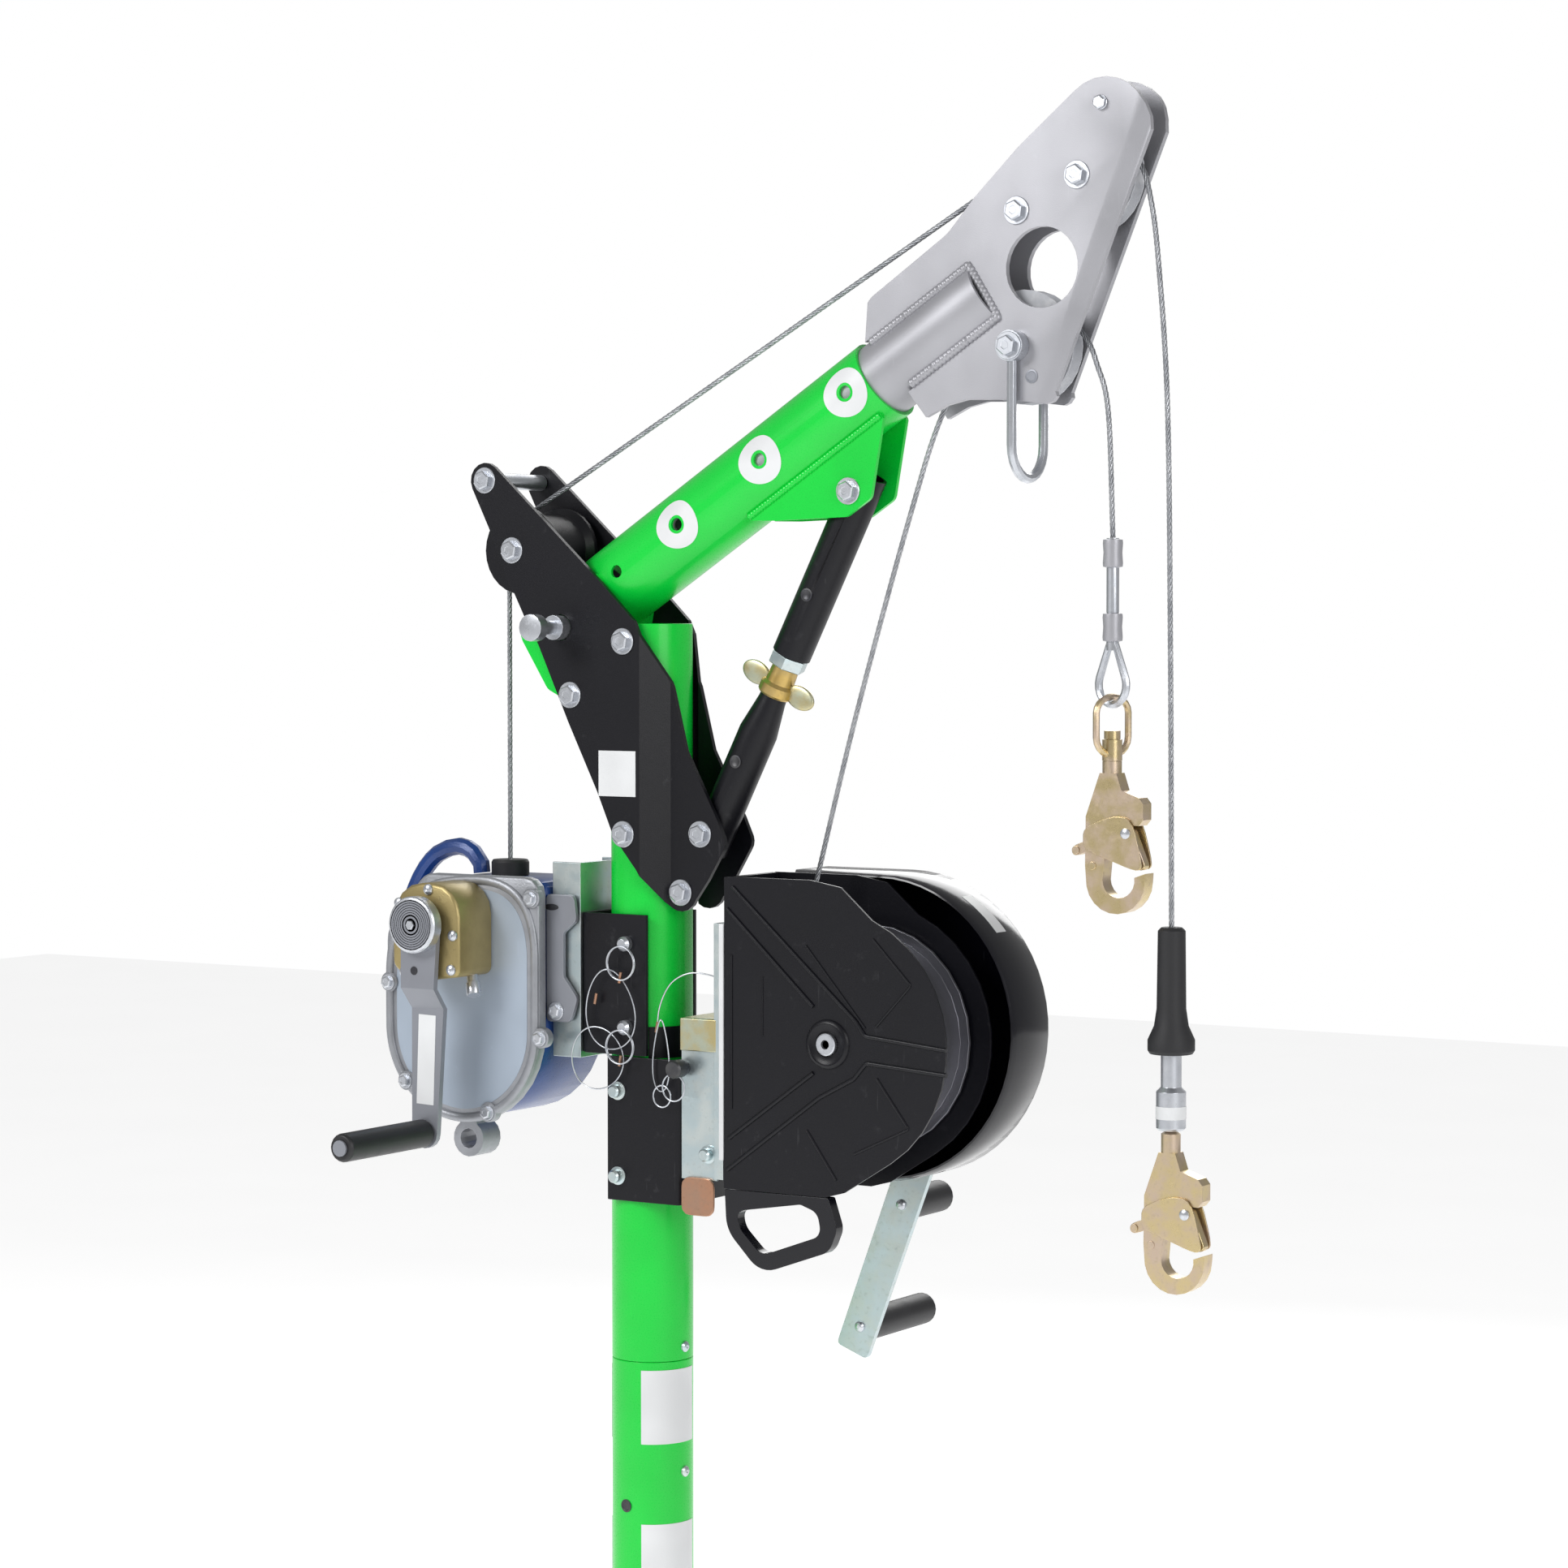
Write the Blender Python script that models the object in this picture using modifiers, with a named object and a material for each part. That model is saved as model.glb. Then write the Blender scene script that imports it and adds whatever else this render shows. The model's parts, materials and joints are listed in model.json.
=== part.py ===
"""Davit hoist with a wire rope winch and a retrieval lifeline.

A lower mast stands in a socket. The upper mast turns on it and carries two bent side plates, a telescoping
boom held up by a screw strut, a self-retracting lifeline on the left and a hand winch on the right. Each
wire rope runs over its own sheave in the boom head and ends in a snap hook.

Units are metres, +Z is up, the mast is the Z axis, the boom points along +X and the origin is the centre
of the mast's foot. Heights marked "below top" are measured down from the top of the upper mast.
"""

import math

import bmesh
import bpy
from mathutils import Matrix, Vector

# ---------------------------------------------------------------- driving dimensions
GAP = 0.0003                      # clearance between pieces that touch
MAST_RADIUS = 0.038
MAST_WALL = 0.0045
LOWER_MAST_LENGTH = 0.700
UPPER_MAST_LENGTH = 0.684
SPIGOT_LENGTH = 0.110             # inner tube of the lower mast that the upper mast turns on
SPIGOT_WALL = 0.004
FOOT_PLUG_THICKNESS = 0.012

PLATE_THICKNESS = 0.005
PLATE_GAP = 0.005                 # between a side plate and the mast or the boom's tube
PLATE_SPAN_NARROW = 0.0256        # outer face of each side plate past its bend, in front of the mast
IDLER_WAIST = 0.035               # the rope runs on this part of the idler
IDLER_FLANGE = IDLER_WAIST + 0.006
IDLER_BORE = 0.006 + GAP
BOLT_RADIUS = 0.005
BOLT_HEAD_RADIUS = 0.0075
BOLT_HEAD_HEIGHT = 0.0062
WASHER_RADIUS = 0.0105
WASHER_THICKNESS = 0.0018

BOOM_ANGLE = math.radians(32.7)
BOOM_RADIUS = 0.038
BOOM_WALL = 0.0032
BOOM_START = 0.064                # inner end of the boom tube, along the boom from the pivot
BOOM_MOUTH = 0.4146               # outer end of the boom tube
BOOM_RISE = 0.0717                # boom axis above the pivot, across the boom
PIN_HOLE_RADIUS = 0.006
PIN_HOLES = (0.0996, 0.1786, 0.2846, 0.3916)
PLATE_SPAN = max(MAST_RADIUS, BOOM_RADIUS) + PLATE_GAP + PLATE_THICKNESS    # outer face of each side plate
PIVOT_LUG_OUTER = PLATE_SPAN - PLATE_THICKNESS - 0.0006
PIVOT_LUG_INNER = BOOM_RADIUS - 0.0015
LATCH_SWEEP = math.radians(15)    # how far the lug's slot lets the boom rise past the latch pin

HEAD_TUBE_RADIUS = BOOM_RADIUS - BOOM_WALL - GAP
HEAD_TUBE_WALL = 0.0035
HEAD_TUBE_INSIDE = 0.310          # length of head tube inside the boom when it is pushed in
HEAD_TUBE_OUTSIDE = 0.132
HEAD_PLATE_THICKNESS = 0.006
HEAD_SPAN = 0.0163 + HEAD_PLATE_THICKNESS      # outer face of each head plate, from the middle plane
SHEAVE_ROPE_RADIUS = 0.0425       # to the middle of the rope in its groove
SHEAVE_RADIUS = SHEAVE_ROPE_RADIUS + 0.0075
SHEAVE_WIDTH = 0.018
SHEAVE_AXLE_RADIUS = 0.006
ROPE_RADIUS = 0.0024
SHACKLE_EYE_WIDTH = 0.013
SHACKLE_WIRE = 0.0045
SHACKLE_DROP = 0.085

STRUT_RADIUS = 0.018
STRUT_WALL = 0.0025
STRUT_SCREW_RADIUS = 0.0095
STRUT_NUT_START = 0.1433          # along the strut from its foot bolt
STRUT_NUT_END = 0.1844
WING_SPAN = 0.036
CLEVIS_OUTER = 0.0227
CLEVIS_THICKNESS = 0.0042

SLEEVE_WALL = 0.004
SLEEVE_INNER = MAST_RADIUS + 0.0004    # inner face of both mounting sleeves, from the middle plane
MOUNT_PIN_RADIUS = 0.0045

SRL_RADIUS = 0.085
SRL_FRONT = -0.052                # where the lifeline's cover meets its housing
SRL_BACK = 0.050
SRL_COVER_THICKNESS = 0.014
SRL_WALL = 0.004
GEARBOX_FRONT = -0.120
SRL_CRANK_LENGTH = 0.197
SRL_GRIP_LENGTH = 0.125
GRIP_RADIUS = 0.0133

WINCH_PLATE_SPAN = 0.045          # outer face of the winch's near plate
WINCH_PLATE_THICKNESS = 0.003
WINCH_PLATE_RADIUS = 0.1215
WINCH_FAR_FACE = 0.0395
DRUM_RADIUS = 0.103
DRUM_BARREL_RADIUS = DRUM_RADIUS - 0.009
HOUSING_RADIUS = 0.141
HOUSING_BACK = 0.112
HOUSING_WALL = 0.004
WINCH_CRANK_PLANE = 0.125
WINCH_CRANK_LENGTH = 0.308
WINCH_GRIP_RADIUS = 0.015

TOP = LOWER_MAST_LENGTH + GAP + UPPER_MAST_LENGTH

# ---------------------------------------------------------------- places, as (x, height below top)
SPACER = (-0.156, 0.134)
IDLER = (-0.1249, 0.0683)
LATCH = (-0.0702, -0.0037)
PIVOT = (-0.0591, -0.0661)
MAST_BOLT = (0.0, -0.1937)
STRUT_FOOT = (0.0701, -0.1927)
LOWER_BOLT = (0.049, -0.247)
SRL_MOUNT_PINS = {"srl_mount_pin_upper": -0.295, "srl_mount_pin_lower": -0.3725}
SRL_CENTRE = (-MAST_RADIUS - 0.1340, -0.381)
SRL_TOP = -0.240
SRL_CRANK = (SRL_CENTRE[0] - 0.0015, -0.2785)
WINCH_AXLE = (0.219, -0.3754)
HOUSING_CENTRE = (0.221, -0.368)
WINCH_CRANK = (0.260, -0.374)

# places on the head, as (along the boom from its mouth, above the boom's axis)
UPPER_SHEAVE = (0.2629, 0.0312)
LOWER_SHEAVE = (0.1346, -0.0586)
HAND_HOLE = (0.1923, -0.0158)
HAND_HOLE_RADIUS = 0.0352
HEAD_CROWN = (0.3053, 0.0505)
HEAD_CROWN_RADIUS = 0.043
CLEVIS_BOLT = (0.3402, 0.0013)    # along the boom from the pivot, above the pivot

# ---------------------------------------------------------------- colours
GREEN = ("green_paint", (0.02, 0.55, 0.10), 0.35, 0.1)
BLACK = ("black_powder", (0.035, 0.035, 0.042), 0.55, 0.1)
GLOSS_BLACK = ("gloss_black", (0.02, 0.02, 0.025), 0.2, 0.1)
ZINC = ("zinc_plate", (0.66, 0.72, 0.70), 0.35, 0.9)
STEEL = ("bright_steel", (0.75, 0.77, 0.80), 0.3, 0.95)
SILVER = ("silver_head", (0.74, 0.74, 0.77), 0.4, 0.5)
ROPE = ("wire_rope", (0.55, 0.56, 0.57), 0.45, 0.9)
BLUE = ("blue_casting", (0.05, 0.16, 0.42), 0.4, 0.1)
COVER = ("cover_casting", (0.62, 0.63, 0.68), 0.45, 0.4)
GOLD = ("gold_casting", (0.52, 0.44, 0.20), 0.4, 0.7)
CRANK_GREY = ("crank_grey", (0.40, 0.41, 0.44), 0.45, 0.4)
RUBBER = ("black_rubber", (0.03, 0.03, 0.035), 0.7, 0.0)
NYLON = ("pale_nylon", (0.45, 0.46, 0.49), 0.45, 0.0)
HOOK_GOLD = ("hook_plate", (0.72, 0.62, 0.42), 0.35, 0.85)

ROUND = 28
FINE_ROUND = 40
SMALL_ROUND = 12
UPRIGHT = Matrix.Rotation(math.pi / 2, 4, "X")      # a flat outline (x, y) stands up as (X, Z)
ALONG_Y = Matrix.Rotation(-math.pi / 2, 4, "X")     # a turned shape's axis points along +Y


# ---------------------------------------------------------------- helpers
def start_scene():
    for obj in list(bpy.data.objects):
        bpy.data.objects.remove(obj)
    made = []
    for name in ("davit_hoist", "cutters"):
        collection = bpy.data.collections.new(name)
        bpy.context.scene.collection.children.link(collection)
        made.append(collection)
    return made


PARTS, CUTTERS = start_scene()


def finish_of(finish):
    name, colour, roughness, metallic = finish
    material = bpy.data.materials.get(name)
    if material is None:
        material = bpy.data.materials.new(name)
        material.use_nodes = True
        shader = material.node_tree.nodes["Principled BSDF"]
        shader.inputs["Base Color"].default_value = (*colour, 1.0)
        shader.inputs["Roughness"].default_value = roughness
        shader.inputs["Metallic"].default_value = metallic
    return material


def below_top(place, y=0.0):
    """World position of an (x, height below top) pair."""
    return Vector((place[0], y, TOP + place[1]))


def on_boom(along, above, y=0.0):
    """World position from distances along the boom and across it, both from the boom's pivot."""
    c, s = math.cos(BOOM_ANGLE), math.sin(BOOM_ANGLE)
    return below_top(PIVOT, y) + Vector((along * c - above * s, 0.0, along * s + above * c))


def on_head(place, y=0.0):
    """World position from the distance past the boom's mouth and above the boom's axis."""
    return on_boom(BOOM_MOUTH + place[0], BOOM_RISE + place[1], y)


def along_boom(start, above):
    """Matrix for a turned shape whose axis lies along the boom."""
    return Matrix.Translation(on_boom(start, above)) @ Matrix.Rotation(math.pi / 2 - BOOM_ANGLE, 4, "Y")


def pivot_point(name, location):
    """An empty on a joint's axis, for the pieces that move about it."""
    empty = bpy.data.objects.new(name, None)
    empty.location = location
    empty.empty_display_size = 0.02
    PARTS.objects.link(empty)
    return empty


def add(name, data, finish, matrix=None, parent=None):
    """Link a piece, give it its finish, and hang it on its joint's empty without moving it."""
    obj = bpy.data.objects.new(name, data)
    data.materials.clear()
    data.materials.append(finish_of(finish))
    PARTS.objects.link(obj)
    matrix = matrix or Matrix()
    if parent is not None:
        obj.parent = parent
        matrix = Matrix.Translation(-parent.location) @ matrix
    obj.matrix_basis = matrix
    return obj


def as_tool(obj):
    """Turn an object into a hidden cutter or joining piece."""
    PARTS.objects.unlink(obj)
    CUTTERS.objects.link(obj)
    obj.hide_render = True
    obj.display_type = "WIRE"
    return obj


def join(obj, *tools, operation="UNION"):
    for tool in tools:
        modifier = obj.modifiers.new(operation.lower(), "BOOLEAN")
        modifier.operation = operation
        modifier.object = as_tool(tool)
    return obj


def cut(obj, *tools):
    return join(obj, *tools, operation="DIFFERENCE")


def turned(name, profile, finish, matrix=None, parent=None, steps=ROUND, ring=False):
    """Spin a profile of (radius, height) pairs, given down its outer side, about Z.

    A ring's profile is closed."""
    mesh = bpy.data.meshes.new(name)
    edges = [(i, i + 1) for i in range(len(profile) - 1)]
    if ring:
        edges.append((len(profile) - 1, 0))
    mesh.from_pydata([(r, 0.0, z) for r, z in profile], edges, [])
    obj = add(name, mesh, finish, matrix, parent)
    screw = obj.modifiers.new("turn", "SCREW")
    screw.axis = "Z"
    screw.steps = steps
    screw.render_steps = steps
    screw.use_merge_vertices = True
    screw.merge_threshold = 0.00001
    screw.use_smooth_shade = True
    return obj


def tube_ring(outer, inner, low, high):
    return [(outer, high), (outer, low), (inner, low), (inner, high)]


def rod_profile(radius, low, high):
    return [(0.0, high), (radius, high), (radius, low), (0.0, low)]


def rod(name, radius, centre, low, high, steps=SMALL_ROUND):
    """A plain cylinder across the object, from low to high along Y through (x, z) of centre."""
    place = Matrix.Translation(Vector((centre.x, 0.0, centre.z))) @ ALONG_Y
    return turned(name, rod_profile(radius, low, high), STEEL, place, steps=steps)


def arc(centre, radius, start, end, steps=8):
    """Points on an arc from start to end degrees, both included."""
    angles = [math.radians(start + (end - start) * i / steps) for i in range(steps + 1)]
    return [(centre[0] + radius * math.cos(a), centre[1] + radius * math.sin(a)) for a in angles]


def circle(centre, radius, steps=12):
    return arc(centre, radius, 0, 360 * (steps - 1) / steps, steps - 1)


def corner(before, at, after, radius, steps=4):
    """Points that round the corner at 'at' by the given radius."""
    at = Vector(at)
    u, v = (Vector(before) - at).normalized(), (Vector(after) - at).normalized()
    half = u.angle(v) / 2
    shortest = min((Vector(before) - at).length, (Vector(after) - at).length)
    reach = min(radius / math.tan(half), 0.45 * shortest)
    centre = at + (u + v).normalized() * reach / math.cos(half)
    first, last = at + u * reach - centre, at + v * reach - centre
    turn = first.angle_signed(last)
    return [tuple(centre + Matrix.Rotation(-turn * i / steps, 2) @ first) for i in range(steps + 1)]


def rounded(corners, steps=4):
    """An outline from (x, y) or (x, y, fillet radius) corners."""
    points = []
    for i, here in enumerate(corners):
        if len(here) == 2:
            points.append(here)
        else:
            before, after = corners[i - 1][:2], corners[(i + 1) % len(corners)][:2]
            points += corner(before, here[:2], after, here[2], steps)
    return points


def flat(name, loops, thickness, finish, matrix=None, parent=None, edge=0.0):
    """A plate from closed outlines: the first is its edge, the others are holes. 'edge' rounds its rims."""
    curve = bpy.data.curves.new(name, "CURVE")
    curve.dimensions = "2D"
    curve.fill_mode = "BOTH"
    curve.extrude = thickness / 2 - edge
    curve.bevel_depth = edge
    curve.offset = -edge
    curve.bevel_resolution = 1
    for loop in loops:
        spline = curve.splines.new("POLY")
        spline.points.add(len(loop) - 1)
        for point, (x, y) in zip(spline.points, loop):
            point.co = (x, y, 0.0, 1.0)
        spline.use_cyclic_u = True
    return add(name, curve, finish, matrix, parent)


def standing(name, loops, near, far, finish, parent=None, edge=0.0, lift=TOP):
    """A plate that stands in the XZ plane, from (x, height below top) outlines, between two values of Y."""
    matrix = Matrix.Translation((0.0, (near + far) / 2, lift)) @ UPRIGHT
    return flat(name, loops, abs(far - near), finish, matrix, parent, edge)


def wire(name, points, radius, finish, parent=None, cyclic=False, resolution=2):
    """A round bar or rope along a list of world points, with filled ends."""
    curve = bpy.data.curves.new(name, "CURVE")
    curve.dimensions = "3D"
    curve.bevel_depth = radius
    curve.bevel_resolution = resolution
    curve.use_fill_caps = not cyclic
    spline = curve.splines.new("POLY")
    spline.points.add(len(points) - 1)
    for point, place in zip(spline.points, points):
        point.co = (*place, 1.0)
    spline.use_cyclic_u = cyclic
    spline.use_smooth = True
    return add(name, curve, finish, None, parent)


def as_mesh(obj):
    """The same piece as a mesh with its caps welded on, so that it takes a Boolean."""
    bpy.context.view_layer.update()
    graph = bpy.context.evaluated_depsgraph_get()
    mesh = bpy.data.meshes.new_from_object(obj.evaluated_get(graph))
    shape = bmesh.new()
    shape.from_mesh(mesh)
    bmesh.ops.remove_doubles(shape, verts=shape.verts, dist=0.000001)
    bmesh.ops.recalc_face_normals(shape, faces=shape.faces)
    shape.to_mesh(mesh)
    shape.free()
    mesh.materials.clear()
    mesh.materials.append(obj.active_material)
    name, basis, parent = obj.name, obj.matrix_basis.copy(), obj.parent
    bpy.data.objects.remove(obj)
    made = bpy.data.objects.new(name, mesh)
    PARTS.objects.link(made)
    made.parent = parent
    made.matrix_basis = basis
    return made


def folded(obj, origin, direction, folds, lift):
    """Bend a flat plate. Each fold is (distance, shift), with straight slopes between two folds.

    Points slide along 'lift'. Distances run along 'direction' from 'origin', in the plate's own frame."""
    obj = as_mesh(obj)
    shape = bmesh.new()
    shape.from_mesh(obj.data)
    origin, direction, lift = Vector(origin), Vector(direction).normalized(), Vector(lift).normalized()
    for distance, _ in folds:
        geometry = shape.verts[:] + shape.edges[:] + shape.faces[:]
        bmesh.ops.bisect_plane(
            shape, geom=geometry, dist=0.0000001, plane_co=origin + direction * distance, plane_no=direction
        )
    for vert in shape.verts:
        distance = (vert.co - origin).dot(direction)
        shift = folds[-1][1]
        for (near, near_shift), (far, far_shift) in zip(folds, folds[1:]):
            if distance <= far:
                share = max(0.0, (distance - near) / (far - near))
                shift = near_shift + (far_shift - near_shift) * share
                break
        vert.co += lift * shift
    shape.to_mesh(obj.data)
    shape.free()
    return obj


def through_bolt(name, centre, near, far, finish=STEEL, parent=None, radius=BOLT_RADIUS, collar=None):
    """A bolt across the object, with a washer and a head on the near side and a nut on the far side.

    A collar is a spacer between the plates, as (radius, half length)."""
    low, high = near - GAP, far + GAP
    profile = [
        (0.0, high + WASHER_THICKNESS + BOLT_HEAD_HEIGHT),
        (BOLT_HEAD_RADIUS, high + WASHER_THICKNESS + BOLT_HEAD_HEIGHT),
        (BOLT_HEAD_RADIUS, high + WASHER_THICKNESS),
        (WASHER_RADIUS, high + WASHER_THICKNESS),
        (WASHER_RADIUS, high),
        (radius, high),
    ]
    if collar:
        width, half = collar
        profile += [(radius, half), (width, half), (width, -half), (radius, -half)]
    profile += [
        (radius, low),
        (WASHER_RADIUS, low),
        (WASHER_RADIUS, low - WASHER_THICKNESS),
        (BOLT_HEAD_RADIUS, low - WASHER_THICKNESS),
        (BOLT_HEAD_RADIUS, low - WASHER_THICKNESS - BOLT_HEAD_HEIGHT),
        (0.0, low - WASHER_THICKNESS - BOLT_HEAD_HEIGHT),
    ]
    matrix = Matrix.Translation(Vector((centre.x, 0.0, centre.z))) @ ALONG_Y
    return turned(name, profile, finish, matrix, parent, SMALL_ROUND)


HOLE = BOLT_RADIUS + GAP + 0.0002     # a bolt's clearance hole


# ---------------------------------------------------------------- joints' axes
BOOM_PIVOT = pivot_point("boom_pivot_axis", below_top(PIVOT))
HEAD_SLIDE = pivot_point("boom_extension_axis", on_boom(BOOM_MOUTH, BOOM_RISE))
IDLER_AXIS = pivot_point("idler_axis", below_top(IDLER))
LATCH_AXIS = pivot_point("latch_axis", below_top(LATCH, -PLATE_SPAN))
UPPER_SHEAVE_AXIS = pivot_point("upper_sheave_axis", on_head(UPPER_SHEAVE))
LOWER_SHEAVE_AXIS = pivot_point("lower_sheave_axis", on_head(LOWER_SHEAVE))
STRUT_AXIS = pivot_point("strut_foot_axis", below_top(STRUT_FOOT))
SRL_CRANK_AXIS = pivot_point("srl_crank_axis", below_top(SRL_CRANK))
SRL_DRUM_AXIS = pivot_point("srl_drum_axis", below_top(SRL_CENTRE))
WINCH_DRUM_AXIS = pivot_point("winch_drum_axis", below_top(WINCH_AXLE))
WINCH_CRANK_AXIS = pivot_point("winch_crank_axis", below_top(WINCH_CRANK))


# ---------------------------------------------------------------- mast
def masts():
    spigot_outer = MAST_RADIUS - MAST_WALL - 0.0005
    spigot_inner = spigot_outer - SPIGOT_WALL
    bore = MAST_RADIUS - MAST_WALL
    top = LOWER_MAST_LENGTH
    turned(
        "lower_mast",
        [
            (spigot_outer, top + SPIGOT_LENGTH),
            (spigot_outer, top),
            (MAST_RADIUS, top),
            (MAST_RADIUS, 0.0),
            (bore, 0.0),
            (bore, top - 0.04),
            (spigot_inner, top - 0.04),
            (spigot_inner, top + SPIGOT_LENGTH),
        ],
        GREEN,
        steps=FINE_ROUND,
        ring=True,
    )
    turned("mast_foot_plug", rod_profile(bore - GAP, 0.0, FOOT_PLUG_THICKNESS), RUBBER, steps=ROUND)

    upper = turned(
        "upper_mast",
        tube_ring(MAST_RADIUS, bore, TOP - UPPER_MAST_LENGTH, TOP),
        GREEN,
        steps=FINE_ROUND,
        ring=True,
    )
    saddle_profile = rod_profile(BOOM_RADIUS + 0.004, 0.0, 0.25)
    saddle = turned("saddle_cutter", saddle_profile, GREEN, along_boom(0.0, BOOM_RISE))
    bolt_hole = rod("mast_bolt_hole", HOLE, below_top(MAST_BOLT), -0.05, 0.05)
    pin_holes = [
        rod(name + "_mast_hole", MOUNT_PIN_RADIUS + GAP + 0.0002, below_top((0.0, z)), -0.05, 0.05)
        for name, z in SRL_MOUNT_PINS.items()
    ]
    cut(upper, saddle, bolt_hole, *pin_holes)


# ---------------------------------------------------------------- side plates and their bolts
def plate_outline():
    return (
        arc(SPACER, 0.0165, 208, 48, 7)
        + [(-0.024, 0.0375), (0.012, 0.003), (0.040, -0.058), (0.055, -0.117), (0.088, -0.178)]
        + arc((0.0835, -0.2005), 0.0135, 20, -35, 3)
        + [(0.0785, -0.235)]
        + arc(LOWER_BOLT, 0.0175, -20, -150, 6)
        + [(0.014, -0.226), (-0.011, -0.196), (-0.029, -0.155), (-0.061, -0.092), (-0.095, -0.020)]
        + [(-0.112, 0.008), (-0.130, 0.042), (-0.151, 0.088)]
    )


def side_plates():
    holes = [circle(place, HOLE) for place in (SPACER, IDLER, PIVOT, MAST_BOLT, STRUT_FOOT)]
    holes.append(circle(LATCH, 0.0125))
    shift = PLATE_SPAN - PLATE_SPAN_NARROW
    for name, side in (("side_plate_near", -1), ("side_plate_far", 1)):
        plate = standing(
            name, [plate_outline()] + holes, side * PLATE_SPAN, side * (PLATE_SPAN - PLATE_THICKNESS), BLACK
        )
        # A standing plate's own z axis points along -Y, so the near plate folds towards -z.
        folded(plate, (0, 0, 0), (1, 0, 0), ((MAST_RADIUS - 0.020, 0.0), (MAST_RADIUS, shift)), (0, 0, side))


def plate_bolts():
    for name, place in (("boom_pivot_bolt", PIVOT), ("mast_bolt", MAST_BOLT)):
        through_bolt(name, below_top(place), -PLATE_SPAN, PLATE_SPAN)
    collar = PLATE_SPAN - PLATE_THICKNESS - 0.0005
    through_bolt("spacer_bolt", below_top(SPACER), -PLATE_SPAN, PLATE_SPAN, BLACK, collar=(0.0075, collar))
    through_bolt("idler_axle", below_top(IDLER), -PLATE_SPAN, PLATE_SPAN, collar=(IDLER_BORE - GAP, collar))
    through_bolt("strut_foot_bolt", below_top(STRUT_FOOT), -PLATE_SPAN_NARROW, PLATE_SPAN_NARROW)


def idler():
    half = PLATE_SPAN - 0.014
    profile = [
        (IDLER_FLANGE, half),
        (IDLER_FLANGE, half - 0.005),
        (IDLER_WAIST, half - 0.012),
        (IDLER_WAIST, -half + 0.012),
        (IDLER_FLANGE, -half + 0.005),
        (IDLER_FLANGE, -half),
        (IDLER_BORE, -half),
        (IDLER_BORE, half),
    ]
    place = Matrix.Translation(below_top(IDLER)) @ ALONG_Y
    turned("idler_roller", profile, BLACK, place, IDLER_AXIS, ROUND, True)


def latch_pin():
    """Sprung pin with a black collar and a zinc knob, through both side plates beside the boom."""
    profile = [
        (0.0, PLATE_SPAN + 0.010),
        (0.006, PLATE_SPAN + 0.010),
        (0.006, -PLATE_SPAN + PLATE_THICKNESS),
        (0.0115, -PLATE_SPAN + PLATE_THICKNESS),
        (0.0115, -PLATE_SPAN - 0.012),
        (0.0065, -PLATE_SPAN - 0.012),
        (0.0065, -PLATE_SPAN - 0.034),
        (0.0125, -PLATE_SPAN - 0.036),
        (0.0125, -PLATE_SPAN - 0.048),
        (0.0, -PLATE_SPAN - 0.050),
    ]
    matrix = Matrix.Translation(below_top(LATCH)) @ ALONG_Y
    turned("boom_latch_pin", profile, ZINC, matrix, LATCH_AXIS, 16)


# ---------------------------------------------------------------- boom
def pivot_lug(name, side):
    """Welded lug from the boom's side down to its pivot, with an arc slot that clears the latch pin."""
    latch = Matrix.Rotation(-BOOM_ANGLE, 2) @ (Vector(LATCH) - Vector(PIVOT))
    reach, angle = latch.length, math.degrees(math.atan2(latch.y, latch.x))
    sweep = math.degrees(LATCH_SWEEP)
    slot_half = 0.0075
    slot = arc((0, 0), reach + slot_half, angle - sweep, angle + 7, 5)
    slot += arc((0, 0), reach - slot_half, angle + 7, angle - sweep, 5)
    outline = rounded(
        [
            (0.0, -0.016, 0.015),
            (-0.022, 0.020, 0.012),
            (-0.022, BOOM_RISE + 0.014, 0.012),
            (BOOM_START + 0.018, BOOM_RISE + 0.009),
            (BOOM_START + 0.018, BOOM_RISE - 0.012),
            (0.020, -0.004, 0.014),
        ]
    )
    matrix = Matrix.Translation(below_top(PIVOT, side * (PIVOT_LUG_OUTER + PIVOT_LUG_INNER) / 2)) @ UPRIGHT
    matrix = matrix @ Matrix.Rotation(BOOM_ANGLE, 4, "Z")
    lug = flat(name, [outline, circle((0, 0), HOLE), slot], PIVOT_LUG_OUTER - PIVOT_LUG_INNER, GREEN, matrix)
    return as_mesh(lug)


def clevis_lug(name, side):
    """Welded lug under the boom for the strut's upper bolt. Its top edge ends inside the boom's wall."""
    off_centre = CLEVIS_OUTER - CLEVIS_THICKNESS / 2
    top = BOOM_RISE - math.sqrt((BOOM_RADIUS - BOOM_WALL / 2) ** 2 - off_centre**2)
    outline = rounded(
        [
            (0.238, top),
            (0.240, top - 0.006),
            (0.262, 0.021, 0.01),
            (CLEVIS_BOLT[0] - 0.014, CLEVIS_BOLT[1] - 0.0185, 0.008),
            (CLEVIS_BOLT[0] + 0.016, CLEVIS_BOLT[1] - 0.0185, 0.009),
            (0.405, top - 0.006),
            (0.405, top),
        ]
    )
    matrix = Matrix.Translation(below_top(PIVOT, side * off_centre)) @ UPRIGHT
    matrix = matrix @ Matrix.Rotation(BOOM_ANGLE, 4, "Z")
    lug = flat(name, [outline, circle(CLEVIS_BOLT, HOLE)], CLEVIS_THICKNESS, GREEN, matrix)
    return as_mesh(lug)


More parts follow.
